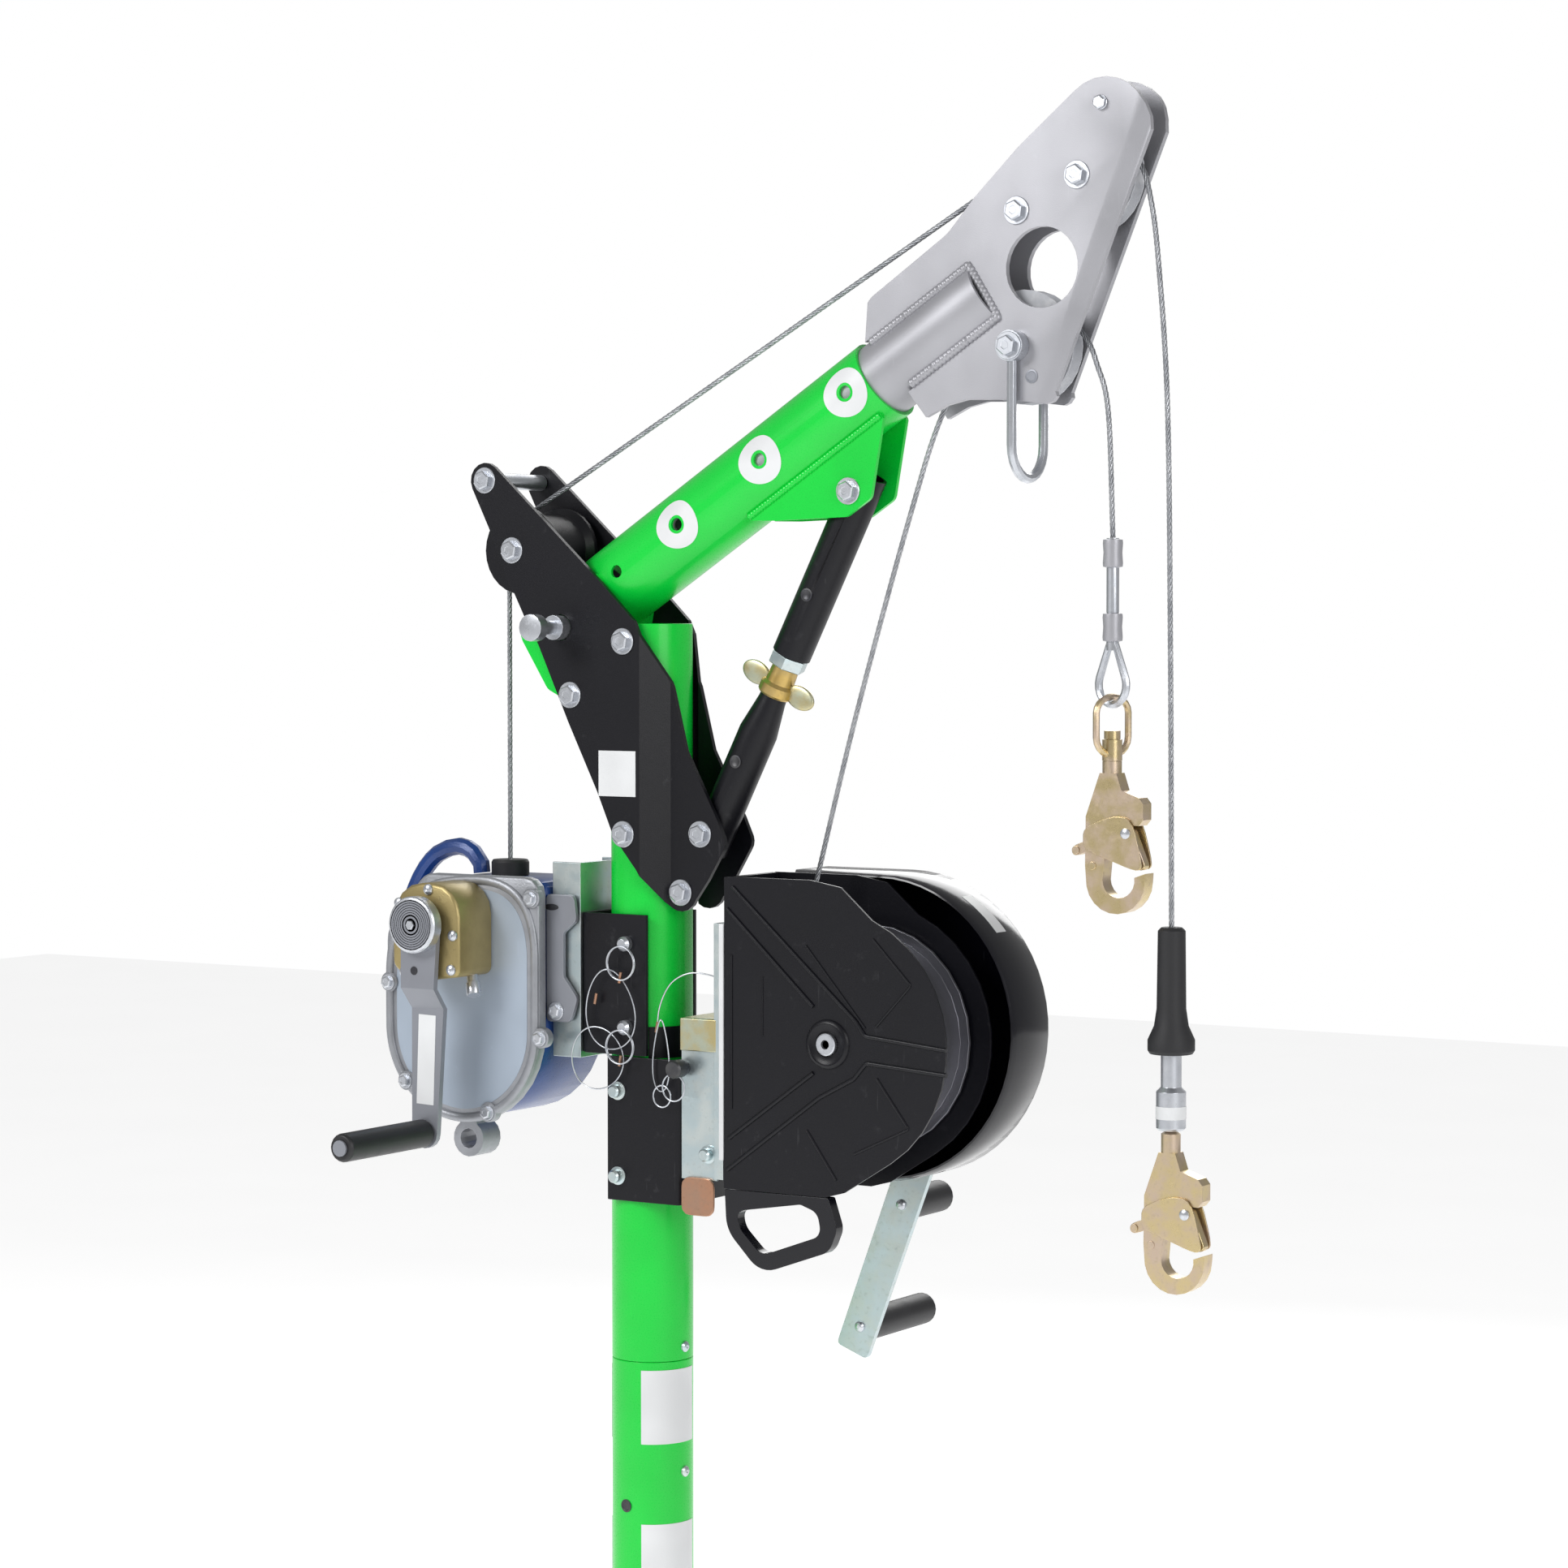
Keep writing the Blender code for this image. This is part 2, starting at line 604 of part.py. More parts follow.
def boom():
    inner = BOOM_RADIUS - BOOM_WALL
    tube = turned(
        "boom_tube",
        tube_ring(BOOM_RADIUS, inner, BOOM_START, BOOM_MOUTH),
        GREEN,
        along_boom(0.0, BOOM_RISE),
        BOOM_PIVOT,
        FINE_ROUND,
        True,
    )
    lugs = [pivot_lug("pivot_lug_near", -1), pivot_lug("pivot_lug_far", 1)]
    lugs += [clevis_lug("clevis_lug_near", -1), clevis_lug("clevis_lug_far", 1)]
    join(tube, *lugs)
    cut(
        tube,
        *[
            rod("pin_hole_%d" % i, PIN_HOLE_RADIUS, on_boom(along, BOOM_RISE), -0.05, 0.05)
            for i, along in enumerate(PIN_HOLES)
        ],
    )
    through_bolt("clevis_bolt", on_boom(*CLEVIS_BOLT), -CLEVIS_OUTER, CLEVIS_OUTER, parent=BOOM_PIVOT)


# ---------------------------------------------------------------- strut
def strut():
    foot, top = below_top(STRUT_FOOT), on_boom(*CLEVIS_BOLT)
    length = (top - foot).length
    lean = math.atan2(top.x - foot.x, top.z - foot.z)
    matrix = Matrix.Translation(foot) @ Matrix.Rotation(lean, 4, "Y")
    inner = STRUT_RADIUS - STRUT_WALL
    nut_start = STRUT_NUT_START
    lower = turned(
        "strut_lower_tube",
        [
            (0.0, STRUT_NUT_END + 0.060),
            (STRUT_SCREW_RADIUS, STRUT_NUT_END + 0.060),
            (STRUT_SCREW_RADIUS, nut_start - GAP),
            (STRUT_SCREW_RADIUS + 0.0030, nut_start - GAP),
            (STRUT_SCREW_RADIUS + 0.0035, nut_start - 0.006),
            (STRUT_RADIUS, nut_start - 0.038),
            (STRUT_RADIUS, -0.017),
            (inner, -0.017),
            (inner, nut_start - 0.044),
            (0.0, nut_start - 0.044),
        ],
        BLACK,
        matrix,
        STRUT_AXIS,
        24,
    )
    cut(lower, rod("strut_foot_hole", HOLE, foot, -0.03, 0.03))
    bore = STRUT_SCREW_RADIUS + GAP
    nut = turned(
        "strut_wing_nut",
        [
            (0.0140, STRUT_NUT_END - GAP),
            (0.0140, nut_start + 0.014),
            (0.0165, nut_start + 0.012),
            (0.0165, nut_start),
            (bore, nut_start),
            (bore, STRUT_NUT_END - GAP),
        ],
        ZINC,
        matrix,
        STRUT_AXIS,
        24,
        True,
    )
    wings = turned(
        "wings",
        [(0.0, WING_SPAN), (0.0045, WING_SPAN), (0.0045, -WING_SPAN), (0.0, -WING_SPAN)],
        ZINC,
        matrix @ Matrix.Translation((0, 0, nut_start + 0.017)) @ Matrix.Rotation(math.pi / 2, 4, "Y"),
        steps=SMALL_ROUND,
    )
    bore_profile = rod_profile(bore, nut_start - 0.01, STRUT_NUT_END + 0.01)
    cut(join(nut, wings), turned("nut_bore", bore_profile, ZINC, matrix, steps=24))
    upper = turned(
        "strut_upper_tube",
        tube_ring(STRUT_RADIUS, inner, STRUT_NUT_END, length + 0.0165),
        BLACK,
        matrix,
        STRUT_AXIS,
        24,
        True,
    )
    cut(upper, rod("strut_top_hole", HOLE, top, -0.03, 0.03))


# ---------------------------------------------------------------- head
def head_outline():
    notch = math.sqrt(HEAD_TUBE_RADIUS**2 - (HEAD_SPAN - HEAD_PLATE_THICKNESS) ** 2) + 0.0006
    return (
        [(0.011, notch)]
        + rounded([(0.005, 0.045, 0.010), (0.036, 0.061, 0.02), (0.131, 0.063, 0.05), (0.171, 0.074)])[5:]
        + [(0.228, 0.085)]
        + arc(HEAD_CROWN, HEAD_CROWN_RADIUS, 100, -38, 9)
        + [(0.144, -0.112)]
        + arc((0.1365, -0.1075), 0.0105, -55, -120, 2)
        + [(0.103, -0.093), (0.069, -0.070), (0.050, -0.063), (0.027, -0.060), (0.024, -notch)]
        + [(HEAD_TUBE_OUTSIDE + GAP, -notch), (HEAD_TUBE_OUTSIDE + GAP, notch)]
    )


def head():
    inner = HEAD_TUBE_RADIUS - HEAD_TUBE_WALL
    tube = turned(
        "head_tube",
        tube_ring(HEAD_TUBE_RADIUS, inner, BOOM_MOUTH - HEAD_TUBE_INSIDE, BOOM_MOUTH + HEAD_TUBE_OUTSIDE),
        SILVER,
        along_boom(0.0, BOOM_RISE),
        HEAD_SLIDE,
        FINE_ROUND,
        True,
    )
    slot = rod("sheave_slot", SHEAVE_RADIUS + 0.014, on_head(LOWER_SHEAVE), -0.0125, 0.0125, 24)
    cut(tube, slot, rod("head_pin_hole", PIN_HOLE_RADIUS, on_boom(PIN_HOLES[1], BOOM_RISE), -0.05, 0.05))

    axle_hole = SHEAVE_AXLE_RADIUS + GAP + 0.0002
    loops = [
        head_outline(),
        circle(HAND_HOLE, HAND_HOLE_RADIUS, 28),
        circle(UPPER_SHEAVE, axle_hole),
        circle(LOWER_SHEAVE, axle_hole),
    ]
    edge_normal = Vector((0.141, -0.194)).normalized()     # out of the plate through its lower right edge
    for name, side in (("head_plate_near", -1), ("head_plate_far", 1)):
        middle = side * (HEAD_SPAN - HEAD_PLATE_THICKNESS / 2)
        matrix = Matrix.Translation(on_head((0.0, 0.0), middle)) @ UPRIGHT
        matrix = matrix @ Matrix.Rotation(BOOM_ANGLE, 4, "Z")
        plate = flat(name, loops, HEAD_PLATE_THICKNESS, SILVER, matrix, HEAD_SLIDE)
        reach = Vector((0.338, 0.027)).dot(edge_normal)
        fold = (*(edge_normal * (reach - 0.014)), 0.0)
        folded(plate, fold, (*edge_normal, 0.0), ((0.0, 0.0), (0.014, 0.005)), (0, 0, side))


def sheaves():
    bore = SHEAVE_AXLE_RADIUS + GAP
    half = SHEAVE_WIDTH / 2
    floor = SHEAVE_ROPE_RADIUS - ROPE_RADIUS - GAP
    profile = [
        (SHEAVE_RADIUS, half),
        (SHEAVE_RADIUS, half - 0.001),
        (floor, 0.0028),
        (floor, -0.0028),
        (SHEAVE_RADIUS, -half + 0.001),
        (SHEAVE_RADIUS, -half),
        (bore, -half),
        (bore, half),
    ]
    for name, place, axis in (
        ("upper_sheave", UPPER_SHEAVE, UPPER_SHEAVE_AXIS),
        ("lower_sheave", LOWER_SHEAVE, LOWER_SHEAVE_AXIS),
    ):
        turned(name, profile, NYLON, Matrix.Translation(on_head(place)) @ ALONG_Y, axis, 28, True)
    for name, place, reach in (
        ("upper_sheave_axle", UPPER_SHEAVE, HEAD_SPAN),
        ("lower_sheave_axle", LOWER_SHEAVE, HEAD_SPAN + SHACKLE_EYE_WIDTH + GAP),
    ):
        through_bolt(name, on_head(place), -reach, reach, STEEL, HEAD_SLIDE, SHEAVE_AXLE_RADIUS)


def shackle():
    """U-shaped bar that straddles the head plates, with a turned eye on each end around the lower axle."""
    centre = on_head(LOWER_SHEAVE)
    middle = HEAD_SPAN + GAP + SHACKLE_EYE_WIDTH / 2
    bend = [
        Vector((0.0, middle * math.cos(a), -SHACKLE_DROP - middle * math.sin(a)))
        for a in [math.pi * i / 12 for i in range(13)]
    ]
    points = [centre + Vector((0, middle, -0.010))] + [centre + p for p in bend]
    points.append(centre + Vector((0, -middle, -0.010)))
    bow = as_mesh(wire("shackle", points, SHACKLE_WIRE, STEEL, LOWER_SHEAVE_AXIS))
    eyes = [
        turned(
            "shackle_eye_%d" % i,
            tube_ring(0.0135, SHEAVE_AXLE_RADIUS + GAP, -SHACKLE_EYE_WIDTH / 2, SHACKLE_EYE_WIDTH / 2),
            STEEL,
            Matrix.Translation(centre + Vector((0, side * middle, 0))) @ ALONG_Y,
            steps=20,
            ring=True,
        )
        for i, side in enumerate((-1, 1))
    ]
    join(bow, *eyes)


# ---------------------------------------------------------------- ropes
def on_circle(centre, radius, angle):
    return centre + Vector((radius * math.cos(angle), 0.0, radius * math.sin(angle)))


def smooth(points, spacing, ends=None):
    """Points read from a smooth Catmull-Rom curve through the route's own points."""
    first = points[0] * 2 - points[1] if ends is None else points[0] - ends
    route = [first, *points, points[-1] * 2 - points[-2]]
    made = []
    for a, b, c, d in zip(route, route[1:], route[2:], route[3:]):
        count = max(1, round((c - b).length / spacing))
        for i in range(count):
            t = i / count
            square, cube = 2 * a - 5 * b + 4 * c - d, 3 * b - a - 3 * c + d
            made.append(0.5 * (2 * b + (c - a) * t + square * t * t + cube * t**3))
    return made + [points[-1]]


def held_ropes():
    """The lifeline's rope over the idler to the head, and the winch's rope up to the head."""
    idler_centre, wrap = below_top(IDLER), IDLER_WAIST + ROPE_RADIUS + GAP
    sheave = on_head(UPPER_SHEAVE)
    span = sheave - idler_centre
    tilt = math.atan2(span.z, span.x)
    cross = math.acos((wrap - SHEAVE_ROPE_RADIUS) / math.hypot(span.x, span.z))
    leave = tilt + cross
    points = [below_top((IDLER[0] - wrap, SRL_TOP + 0.004))]
    points += [on_circle(idler_centre, wrap, math.pi + (leave - math.pi) * i / 8) for i in range(9)]
    turn = math.pi / 4 - leave
    points += [on_circle(sheave, SHEAVE_ROPE_RADIUS, leave + turn * i / 6) for i in range(7)]
    wire("rope_srl", points, ROPE_RADIUS, ROPE)

    sheave = on_head(LOWER_SHEAVE)
    start = below_top(WINCH_ROPE_START)
    route = [
        start,
        below_top((0.2216, -0.0813)),
        below_top((0.2774, 0.0969)),
        below_top((0.3124, 0.1900)),
        on_circle(sheave, SHEAVE_ROPE_RADIUS, math.radians(147)),
    ]
    points = smooth(route, 0.03)[:-1]
    points += [on_circle(sheave, SHEAVE_ROPE_RADIUS, math.radians(146 - 10.1 * i)) for i in range(11)]
    wire("rope_winch", points, ROPE_RADIUS, ROPE)


WINCH_ROPE_START = (0.1755, -0.2480)
DROP_A = ((0.0499, 0.0081), (0.0593, -0.0203), (0.0670, -0.0733), (0.0764, -0.1989), (0.0802, -0.4079))
HOOK_A_X = 0.0826                 # the hanging rope's end, from the upper sheave's axle
HOOK_A_TOP = -0.6464              # the bumper's top, from the upper sheave's axle
DROP_B = ((0.0560, 0.0080), (0.0680, -0.0170), (0.0790, -0.0580))
HOOK_B_X = 0.0840
HOOK_B_TOP = -0.1669              # the top of the rope's eye, from the lower sheave's axle


def hanging_ropes():
    start_angle = math.pi / 4 - 0.012
    for name, place, route, x, top in (
        ("rope_drop_a", UPPER_SHEAVE, DROP_A, HOOK_A_X, HOOK_A_TOP - 0.020),
        ("rope_drop_b", LOWER_SHEAVE, DROP_B, HOOK_B_X, HOOK_B_TOP + GAP),
    ):
        centre = on_head(place)
        points = [on_circle(centre, SHEAVE_ROPE_RADIUS, start_angle)]
        points += [centre + Vector((dx, 0, dz)) for dx, dz in route]
        points.append(centre + Vector((x, 0, top)))
        wire(name, smooth(points, 0.014, Vector((0.03, 0, -0.03))), ROPE_RADIUS, ROPE)


# ---------------------------------------------------------------- snap hooks
HOOK_THICKNESS = 0.016
GATE_THICKNESS = 0.010
HOOK_LENGTH = 0.120
GATE_PIVOT = (0.0185, -0.0500)


def hook_outline():
    bow, throat = (0.0075, -0.0915), (0.0105, -0.0905)
    return (
        [(-0.008, 0.002), (0.008, 0.002), (0.013, -0.013)]
        + [(0.030, -0.019), (0.034, -0.024), (0.034, -0.038), (0.030, -0.043), (0.0125, -0.0425)]
        + [(0.009, -0.058), (-0.003, -0.070)]
        + arc(throat, 0.0155, 165, 370, 12)
        + [(0.0365, -0.0840)]
        + arc(bow, 0.0285, 0, -170, 10)
        + [(-0.0220, -0.078), (-0.0215, -0.036), (-0.013, -0.012)]
    )


def gate_outline():
    start, end = Vector((0.0, 0.0)), Vector((0.0300, -0.0775)) - Vector(GATE_PIVOT)
    lean = math.degrees(math.atan2(end.y - start.y, end.x - start.x))
    return arc(start, 0.0046, lean + 90, lean + 270, 6) + arc(end, 0.0042, lean - 90, lean + 90, 6)


def snap_hook(name, axis, top, stud, hang):
    """A snap hook whose stud turns in the swivel above it.

    'stud' is the stud's profile and 'top' the body's top."""
    place = Matrix.Translation(axis + Vector((0, 0, top)))
    body = as_mesh(flat(name, [hook_outline()], HOOK_THICKNESS, HOOK_GOLD, place @ UPRIGHT, hang))
    post = turned(name + "_stud", stud, HOOK_GOLD, place, steps=16)
    join(body, post)
    hinge = place @ Matrix.Translation((GATE_PIVOT[0], 0.0, GATE_PIVOT[1]))
    flat(name + "_gate", [gate_outline()], GATE_THICKNESS, HOOK_GOLD, hinge @ UPRIGHT, hang)


def long_rope_hook():
    """Rubber bumper, swivel with an indicator band, and hook A."""
    axis = on_head(UPPER_SHEAVE) + Vector((HOOK_A_X, 0, HOOK_A_TOP))
    place = Matrix.Translation(axis)
    hang = pivot_point("rope_drop_a_axis", on_head(UPPER_SHEAVE))
    length = 0.1093
    bore = ROPE_RADIUS + GAP + 0.0003
    profile = [
        (0.0090, 0.0),
        (0.0120, -0.003),
        (0.0128, -0.070),
        (0.0150, -0.085),
        (0.0205, -0.097),
        (0.0205, -length + 0.003),
        (0.0185, -length),
        (0.0165, -length),
        (0.0125, -0.082),
        (0.0098, -0.070),
        (0.0098, -0.030),
        (bore, -0.026),
        (bore, 0.0),
    ]
    turned("hook_a_bumper", profile, RUBBER, place, hang, 24, True)
    foot = -0.1754
    swivel = [
        (0.0, -0.034),
        (0.0090, -0.036),
        (0.0090, -0.138),
        (0.0130, -0.142),
        (0.0130, foot + 0.002),
        (0.0110, foot),
        (0.0058, foot),
        (0.0058, foot + 0.023),
        (0.0, foot + 0.023),
    ]
    turned("hook_a_swivel", swivel, STEEL, place, hang, 24)
    top = foot - 0.021
    stud = [
        (0.0, -top + foot + 0.022),
        (0.0055, -top + foot + 0.022),
        (0.0055, -top + foot - 0.001),
        (0.0085, -top + foot - 0.003),
        (0.0085, -0.004),
        (0.0, -0.006),
    ]
    snap_hook("hook_a", axis, top, stud, hang)


def short_rope_hook():
    """Rope eye with a sleeve, a ring whose collar holds the hook's stud, and hook B."""
    axis = on_head(LOWER_SHEAVE) + Vector((HOOK_B_X, 0, HOOK_B_TOP))
    hang = pivot_point("rope_drop_b_axis", on_head(LOWER_SHEAVE))
    place = Matrix.Translation(axis)
    eye_turn, ring_turn = math.radians(-15), math.radians(75)
    eye_wire, ring_wire = 0.0035, 0.0030
    eye_top, eye_bottom = -0.0930, -0.1440
    half_width, widest = 0.0160, 0.0170
    lower = [
        (half_width * math.sin(a), eye_bottom + widest * (1 - math.cos(a)))
        for a in [math.pi * (-0.62 + 1.24 * i / 14) for i in range(15)]
    ]
    eye_points = [(0.004, eye_top), *[(x, z) for x, z in lower[::-1]], (-0.004, eye_top)]
    eye = wire(
        "hook_b_eye",
        [axis + Vector((x * math.cos(eye_turn), x * math.sin(eye_turn), z)) for x, z in eye_points],
        eye_wire,
        STEEL,
        hang,
        cyclic=True,
    )
    sleeve = turned("eye_sleeve", rod_profile(0.0055, -0.0970, 0.0), STEEL, place, steps=16)
    join(as_mesh(eye), sleeve)

    ring_top = eye_bottom + eye_wire + ring_wire + GAP + 0.0002
    ring_bottom, ring_half = -0.1880, 0.0205
    arch = [math.pi * i / 10 for i in range(11)]
    ring_points = [(ring_half * math.cos(a), ring_top - 0.014 + 0.014 * math.sin(a)) for a in arch]
    ring_points += [(-ring_half * math.cos(a), ring_bottom + 0.016 - 0.016 * math.sin(a)) for a in arch]
    ring = wire(
        "hook_b_ring",
        [axis + Vector((x * math.cos(ring_turn), x * math.sin(ring_turn), z)) for x, z in ring_points],
        ring_wire,
        HOOK_GOLD,
        hang,
        cyclic=True,
    )
    collar_top, collar_bottom = -0.1740, -0.1925
    collar_profile = rod_profile(0.0088, collar_bottom, collar_top)
    collar = turned("ring_collar", collar_profile, HOOK_GOLD, place, steps=20)
    bore_profile = rod_profile(0.0052, collar_bottom - 0.01, collar_top + 0.01)
    bore = turned("collar_bore", bore_profile, HOOK_GOLD, place, steps=20)
    cut(join(as_mesh(ring), collar), bore)
    top = -0.2050
    stud = [
        (0.0, -top + collar_top + 0.0085),
        (0.0072, -top + collar_top + 0.0075),
        (0.0072, -top + collar_top + GAP),
        (0.0048, -top + collar_top + GAP),
        (0.0048, -top + collar_bottom - GAP),
        (0.0085, -top + collar_bottom - GAP),
        (0.0085, -0.004),
        (0.0, -0.006),
    ]
    snap_hook("hook_b", axis, top, stud, hang)


# ---------------------------------------------------------------- lifeline unit
def srl_outline(grow):
    """Round bottom and squared top, grown outwards by 'grow'."""
    x, z = SRL_CENTRE
    radius = SRL_RADIUS + grow
    left, right, top = x - radius, x + radius, SRL_TOP + grow
    return (
        arc(SRL_CENTRE, radius, -180, 0, 16)
        + corner((right, z), (right, top), (left + 0.05, top), 0.012 + grow, 3)
        + corner((right, top), (left + 0.045, top), (left, top - 0.055), 0.020, 3)
        + corner((left + 0.045, top), (left, top - 0.055), (left, z), 0.030, 3)
    )


def lifeline_unit():
    housing = as_mesh(standing("srl_housing", [srl_outline(0)], SRL_FRONT + GAP, SRL_BACK, BLUE, edge=0.006))
    cavity = as_mesh(
        standing("srl_cavity", [srl_outline(-SRL_WALL)], SRL_FRONT - 0.01, SRL_BACK - SRL_WALL, BLUE)
    )
    rope_x = IDLER[0] - IDLER_WAIST - ROPE_RADIUS - GAP
    rope_hole = turned(
        "srl_rope_hole",
        rod_profile(0.006, TOP + SRL_TOP - 0.02, TOP + SRL_TOP + 0.02),
        BLUE,
        Matrix.Translation((rope_x, 0, 0)),
        steps=16,
    )
    cut(housing, cavity, rope_hole)
    front = SRL_FRONT - SRL_COVER_THICKNESS
    shaft_hole = circle(SRL_CRANK, 0.0085)
    standing("srl_cover", [srl_outline(0.004), shaft_hole], front, SRL_FRONT, COVER, edge=0.003)
    x, z = SRL_CRANK
    gearbox = rounded(
        [
            (x - 0.0385, z + 0.0375, 0.034),
            (x + 0.0385, z + 0.0375, 0.030),
            (x + 0.0385, z - 0.0485, 0.008),
            (x - 0.020, z - 0.0560, 0.010),
            (x - 0.0385, z - 0.0400, 0.010),
        ]
    )
    standing("srl_gearbox", [gearbox, shaft_hole], GEARBOX_FRONT, front - GAP, GOLD, edge=0.003)
    turned(
        "srl_rope_outlet",
        [
            (0.0165, 0.0155),
            (0.018, 0.013),
            (0.018, GAP),
            (ROPE_RADIUS + GAP + 0.0005, GAP),
            (ROPE_RADIUS + GAP + 0.0005, 0.0155),
        ],
        RUBBER,
        Matrix.Translation((rope_x, 0, TOP + SRL_TOP)),
        steps=20,
        ring=True,
    )
    centre = SRL_CENTRE[0]
    left = centre - SRL_RADIUS
    handle = [
        (centre - 0.024, SRL_TOP + 0.0014),
        (centre - 0.025, SRL_TOP + 0.010),
        (centre - 0.033, SRL_TOP + 0.020),
        (centre - 0.050, SRL_TOP + 0.026),
        (centre - 0.076, SRL_TOP + 0.018),
        (left - 0.013, SRL_TOP - 0.006),
        (left - 0.033, SRL_TOP - 0.050),
        (left - 0.043, SRL_TOP - 0.078),
        (left - 0.037, SRL_TOP - 0.096),
        (left - 0.017, SRL_TOP - 0.105),
        (left - 0.0014, SRL_TOP - 0.106),
    ]
    wire("srl_carry_handle", smooth([below_top(p) for p in handle], 0.012), 0.0085, BLUE, resolution=3)
    flange, barrel = SRL_RADIUS - 0.030, SRL_RADIUS - 0.045
    drum = [
        (flange, 0.030),
        (flange, 0.027),
        (barrel, 0.027),
        (barrel, -0.020),
        (flange, -0.020),
        (flange, -0.023),
        (0.010, -0.023),
        (0.010, 0.030),
    ]
    place = Matrix.Translation(below_top(SRL_CENTRE)) @ ALONG_Y
    turned("srl_drum", drum, STEEL, place, SRL_DRUM_AXIS, 24, True)

    right = SRL_CENTRE[0] + SRL_RADIUS
    ear = rounded(
        [
            (right + 0.0005, -0.252, 0.004),
            (right + 0.0320, -0.252, 0.006),
            (right + 0.0350, -0.276, 0.008),
            (right + 0.0200, -0.288, 0.004),
            (right + 0.0200, -0.328, 0.004),
            (right + 0.0360, -0.348, 0.008),
            (right + 0.0280, -0.371, 0.008),
            (right + 0.0005, -0.371, 0.004),
        ],
        3,
    )
    standing("srl_side_plate", [ear], -0.0490, -0.0440, CRANK_GREY)
    ring_x, ring_top = SRL_CENTRE[0] - 0.008, SRL_CENTRE[1] - SRL_RADIUS - 0.0012
    ring = (ring_x, ring_top - 0.0208)
    loop = arc(ring, 0.0175, 125, 415, 14) + [(ring_x + 0.0085, ring_top), (ring_x - 0.0085, ring_top)]
    standing("srl_bottom_ring", [loop, circle(ring, 0.0095)], -0.045, -0.017, COVER)


def lifeline_crank():
    """Joggled arm with a turned knob on its shaft, and a free-turning grip on a spindle."""
    x, z = SRL_CRANK
    lean = math.asin(0.007 / SRL_CRANK_LENGTH)
    end = (x - 0.007, z - SRL_CRANK_LENGTH * math.cos(lean))
    outline = arc(SRL_CRANK, 0.021, 180, 0, 8) + arc(end, 0.0145, 0, -180, 8)
    face = GEARBOX_FRONT - 0.004
    arm = standing("srl_crank", [outline], face - 0.006, face, CRANK_GREY, SRL_CRANK_AXIS)
    arm = folded(arm, (0, z - 0.060, 0), (0, -1, 0), ((0.0, 0.0), (0.020, 0.017)), (0, 0, -1))
    centre = Matrix.Translation(below_top(SRL_CRANK)) @ ALONG_Y
    knob = turned(
        "srl_knob",
        [
            (0.0, SRL_FRONT - SRL_COVER_THICKNESS + 0.004),
            (0.008, SRL_FRONT - SRL_COVER_THICKNESS + 0.004),
            (0.008, face + 0.0015),
            (0.0125, face + 0.0015),
            (0.0125, face - 0.005),
            (0.026, face - 0.0065),
            (0.026, face - 0.0155),
            (0.0235, face - 0.0185),
            (0.0, face - 0.0185),
        ],
        STEEL,
        centre,
        steps=24,
    )
    plane = face - 0.006 + 0.017
    handle = Matrix.Translation(below_top(end)) @ ALONG_Y
    grip_far = plane - GAP - SRL_GRIP_LENGTH
    spindle = turned(
        "srl_spindle",
        [
            (0.0, plane + 0.003),
            (0.004, plane + 0.003),
            (0.004, grip_far - GAP),
            (0.0075, grip_far - GAP),
            (0.0075, grip_far - 0.0025),
            (0.0, grip_far - 0.0025),
        ],
        STEEL,
        handle,
        steps=16,
    )
    join(arm, knob, spindle)
    axis = pivot_point("srl_grip_axis", below_top(end))
    turned(
        "srl_crank_grip",
        [
            (0.0110, plane - GAP),
            (GRIP_RADIUS, plane - 0.003),
            (GRIP_RADIUS, grip_far + 0.003),
            (0.0115, grip_far),
            (0.0043, grip_far),
            (0.0043, plane - GAP),
        ],
        RUBBER,
        handle,
        axis,
        20,
        True,
    )


def lifeline_mount():
    """Zinc channel that holds the lifeline unit, and the black sleeve that pins it to the mast."""
    sleeve_web = -MAST_RADIUS - 0.0139
    back, flange, half, wall = sleeve_web - GAP, sleeve_web - 0.0319, 0.0420, 0.003
    channel = [
        (flange, -half),
        (back, -half),
        (back, half),
        (flange, half),
        (flange, half - wall),
        (back - wall, half - wall),
        (back - wall, -half + wall),
        (flange, -half + wall),
    ]
    low, high = TOP - 0.404, TOP - 0.222
    flat("srl_channel", [channel], high - low, ZINC, Matrix.Translation((0, 0, (low + high) / 2)))
    sleeve = mast_sleeve("srl_mount_sleeve", sleeve_web, 0.0215, -0.3985, -0.268)
    holes = [
        rod(name + "_sleeve_hole", MOUNT_PIN_RADIUS + GAP + 0.0002, below_top((0.0, z)), -0.05, 0.05)
        for name, z in SRL_MOUNT_PINS.items()
    ]
    cut(sleeve, *holes)
    outer = SLEEVE_INNER + SLEEVE_WALL
    for name, z in SRL_MOUNT_PINS.items():
        profile = [
            (0.0, outer + 0.009),
            (MOUNT_PIN_RADIUS, outer + 0.008),
            (MOUNT_PIN_RADIUS, -outer - GAP),
            (0.0070, -outer - GAP),
            (0.0070, -outer - 0.006),
            (0.0045, -outer - 0.0095),
            (0.0, -outer - 0.0095),
        ]
        axis = pivot_point(name + "_axis", below_top((0.0, z)))
        turned(name, profile, STEEL, Matrix.Translation(below_top((0.0, z))) @ ALONG_Y, axis, SMALL_ROUND)


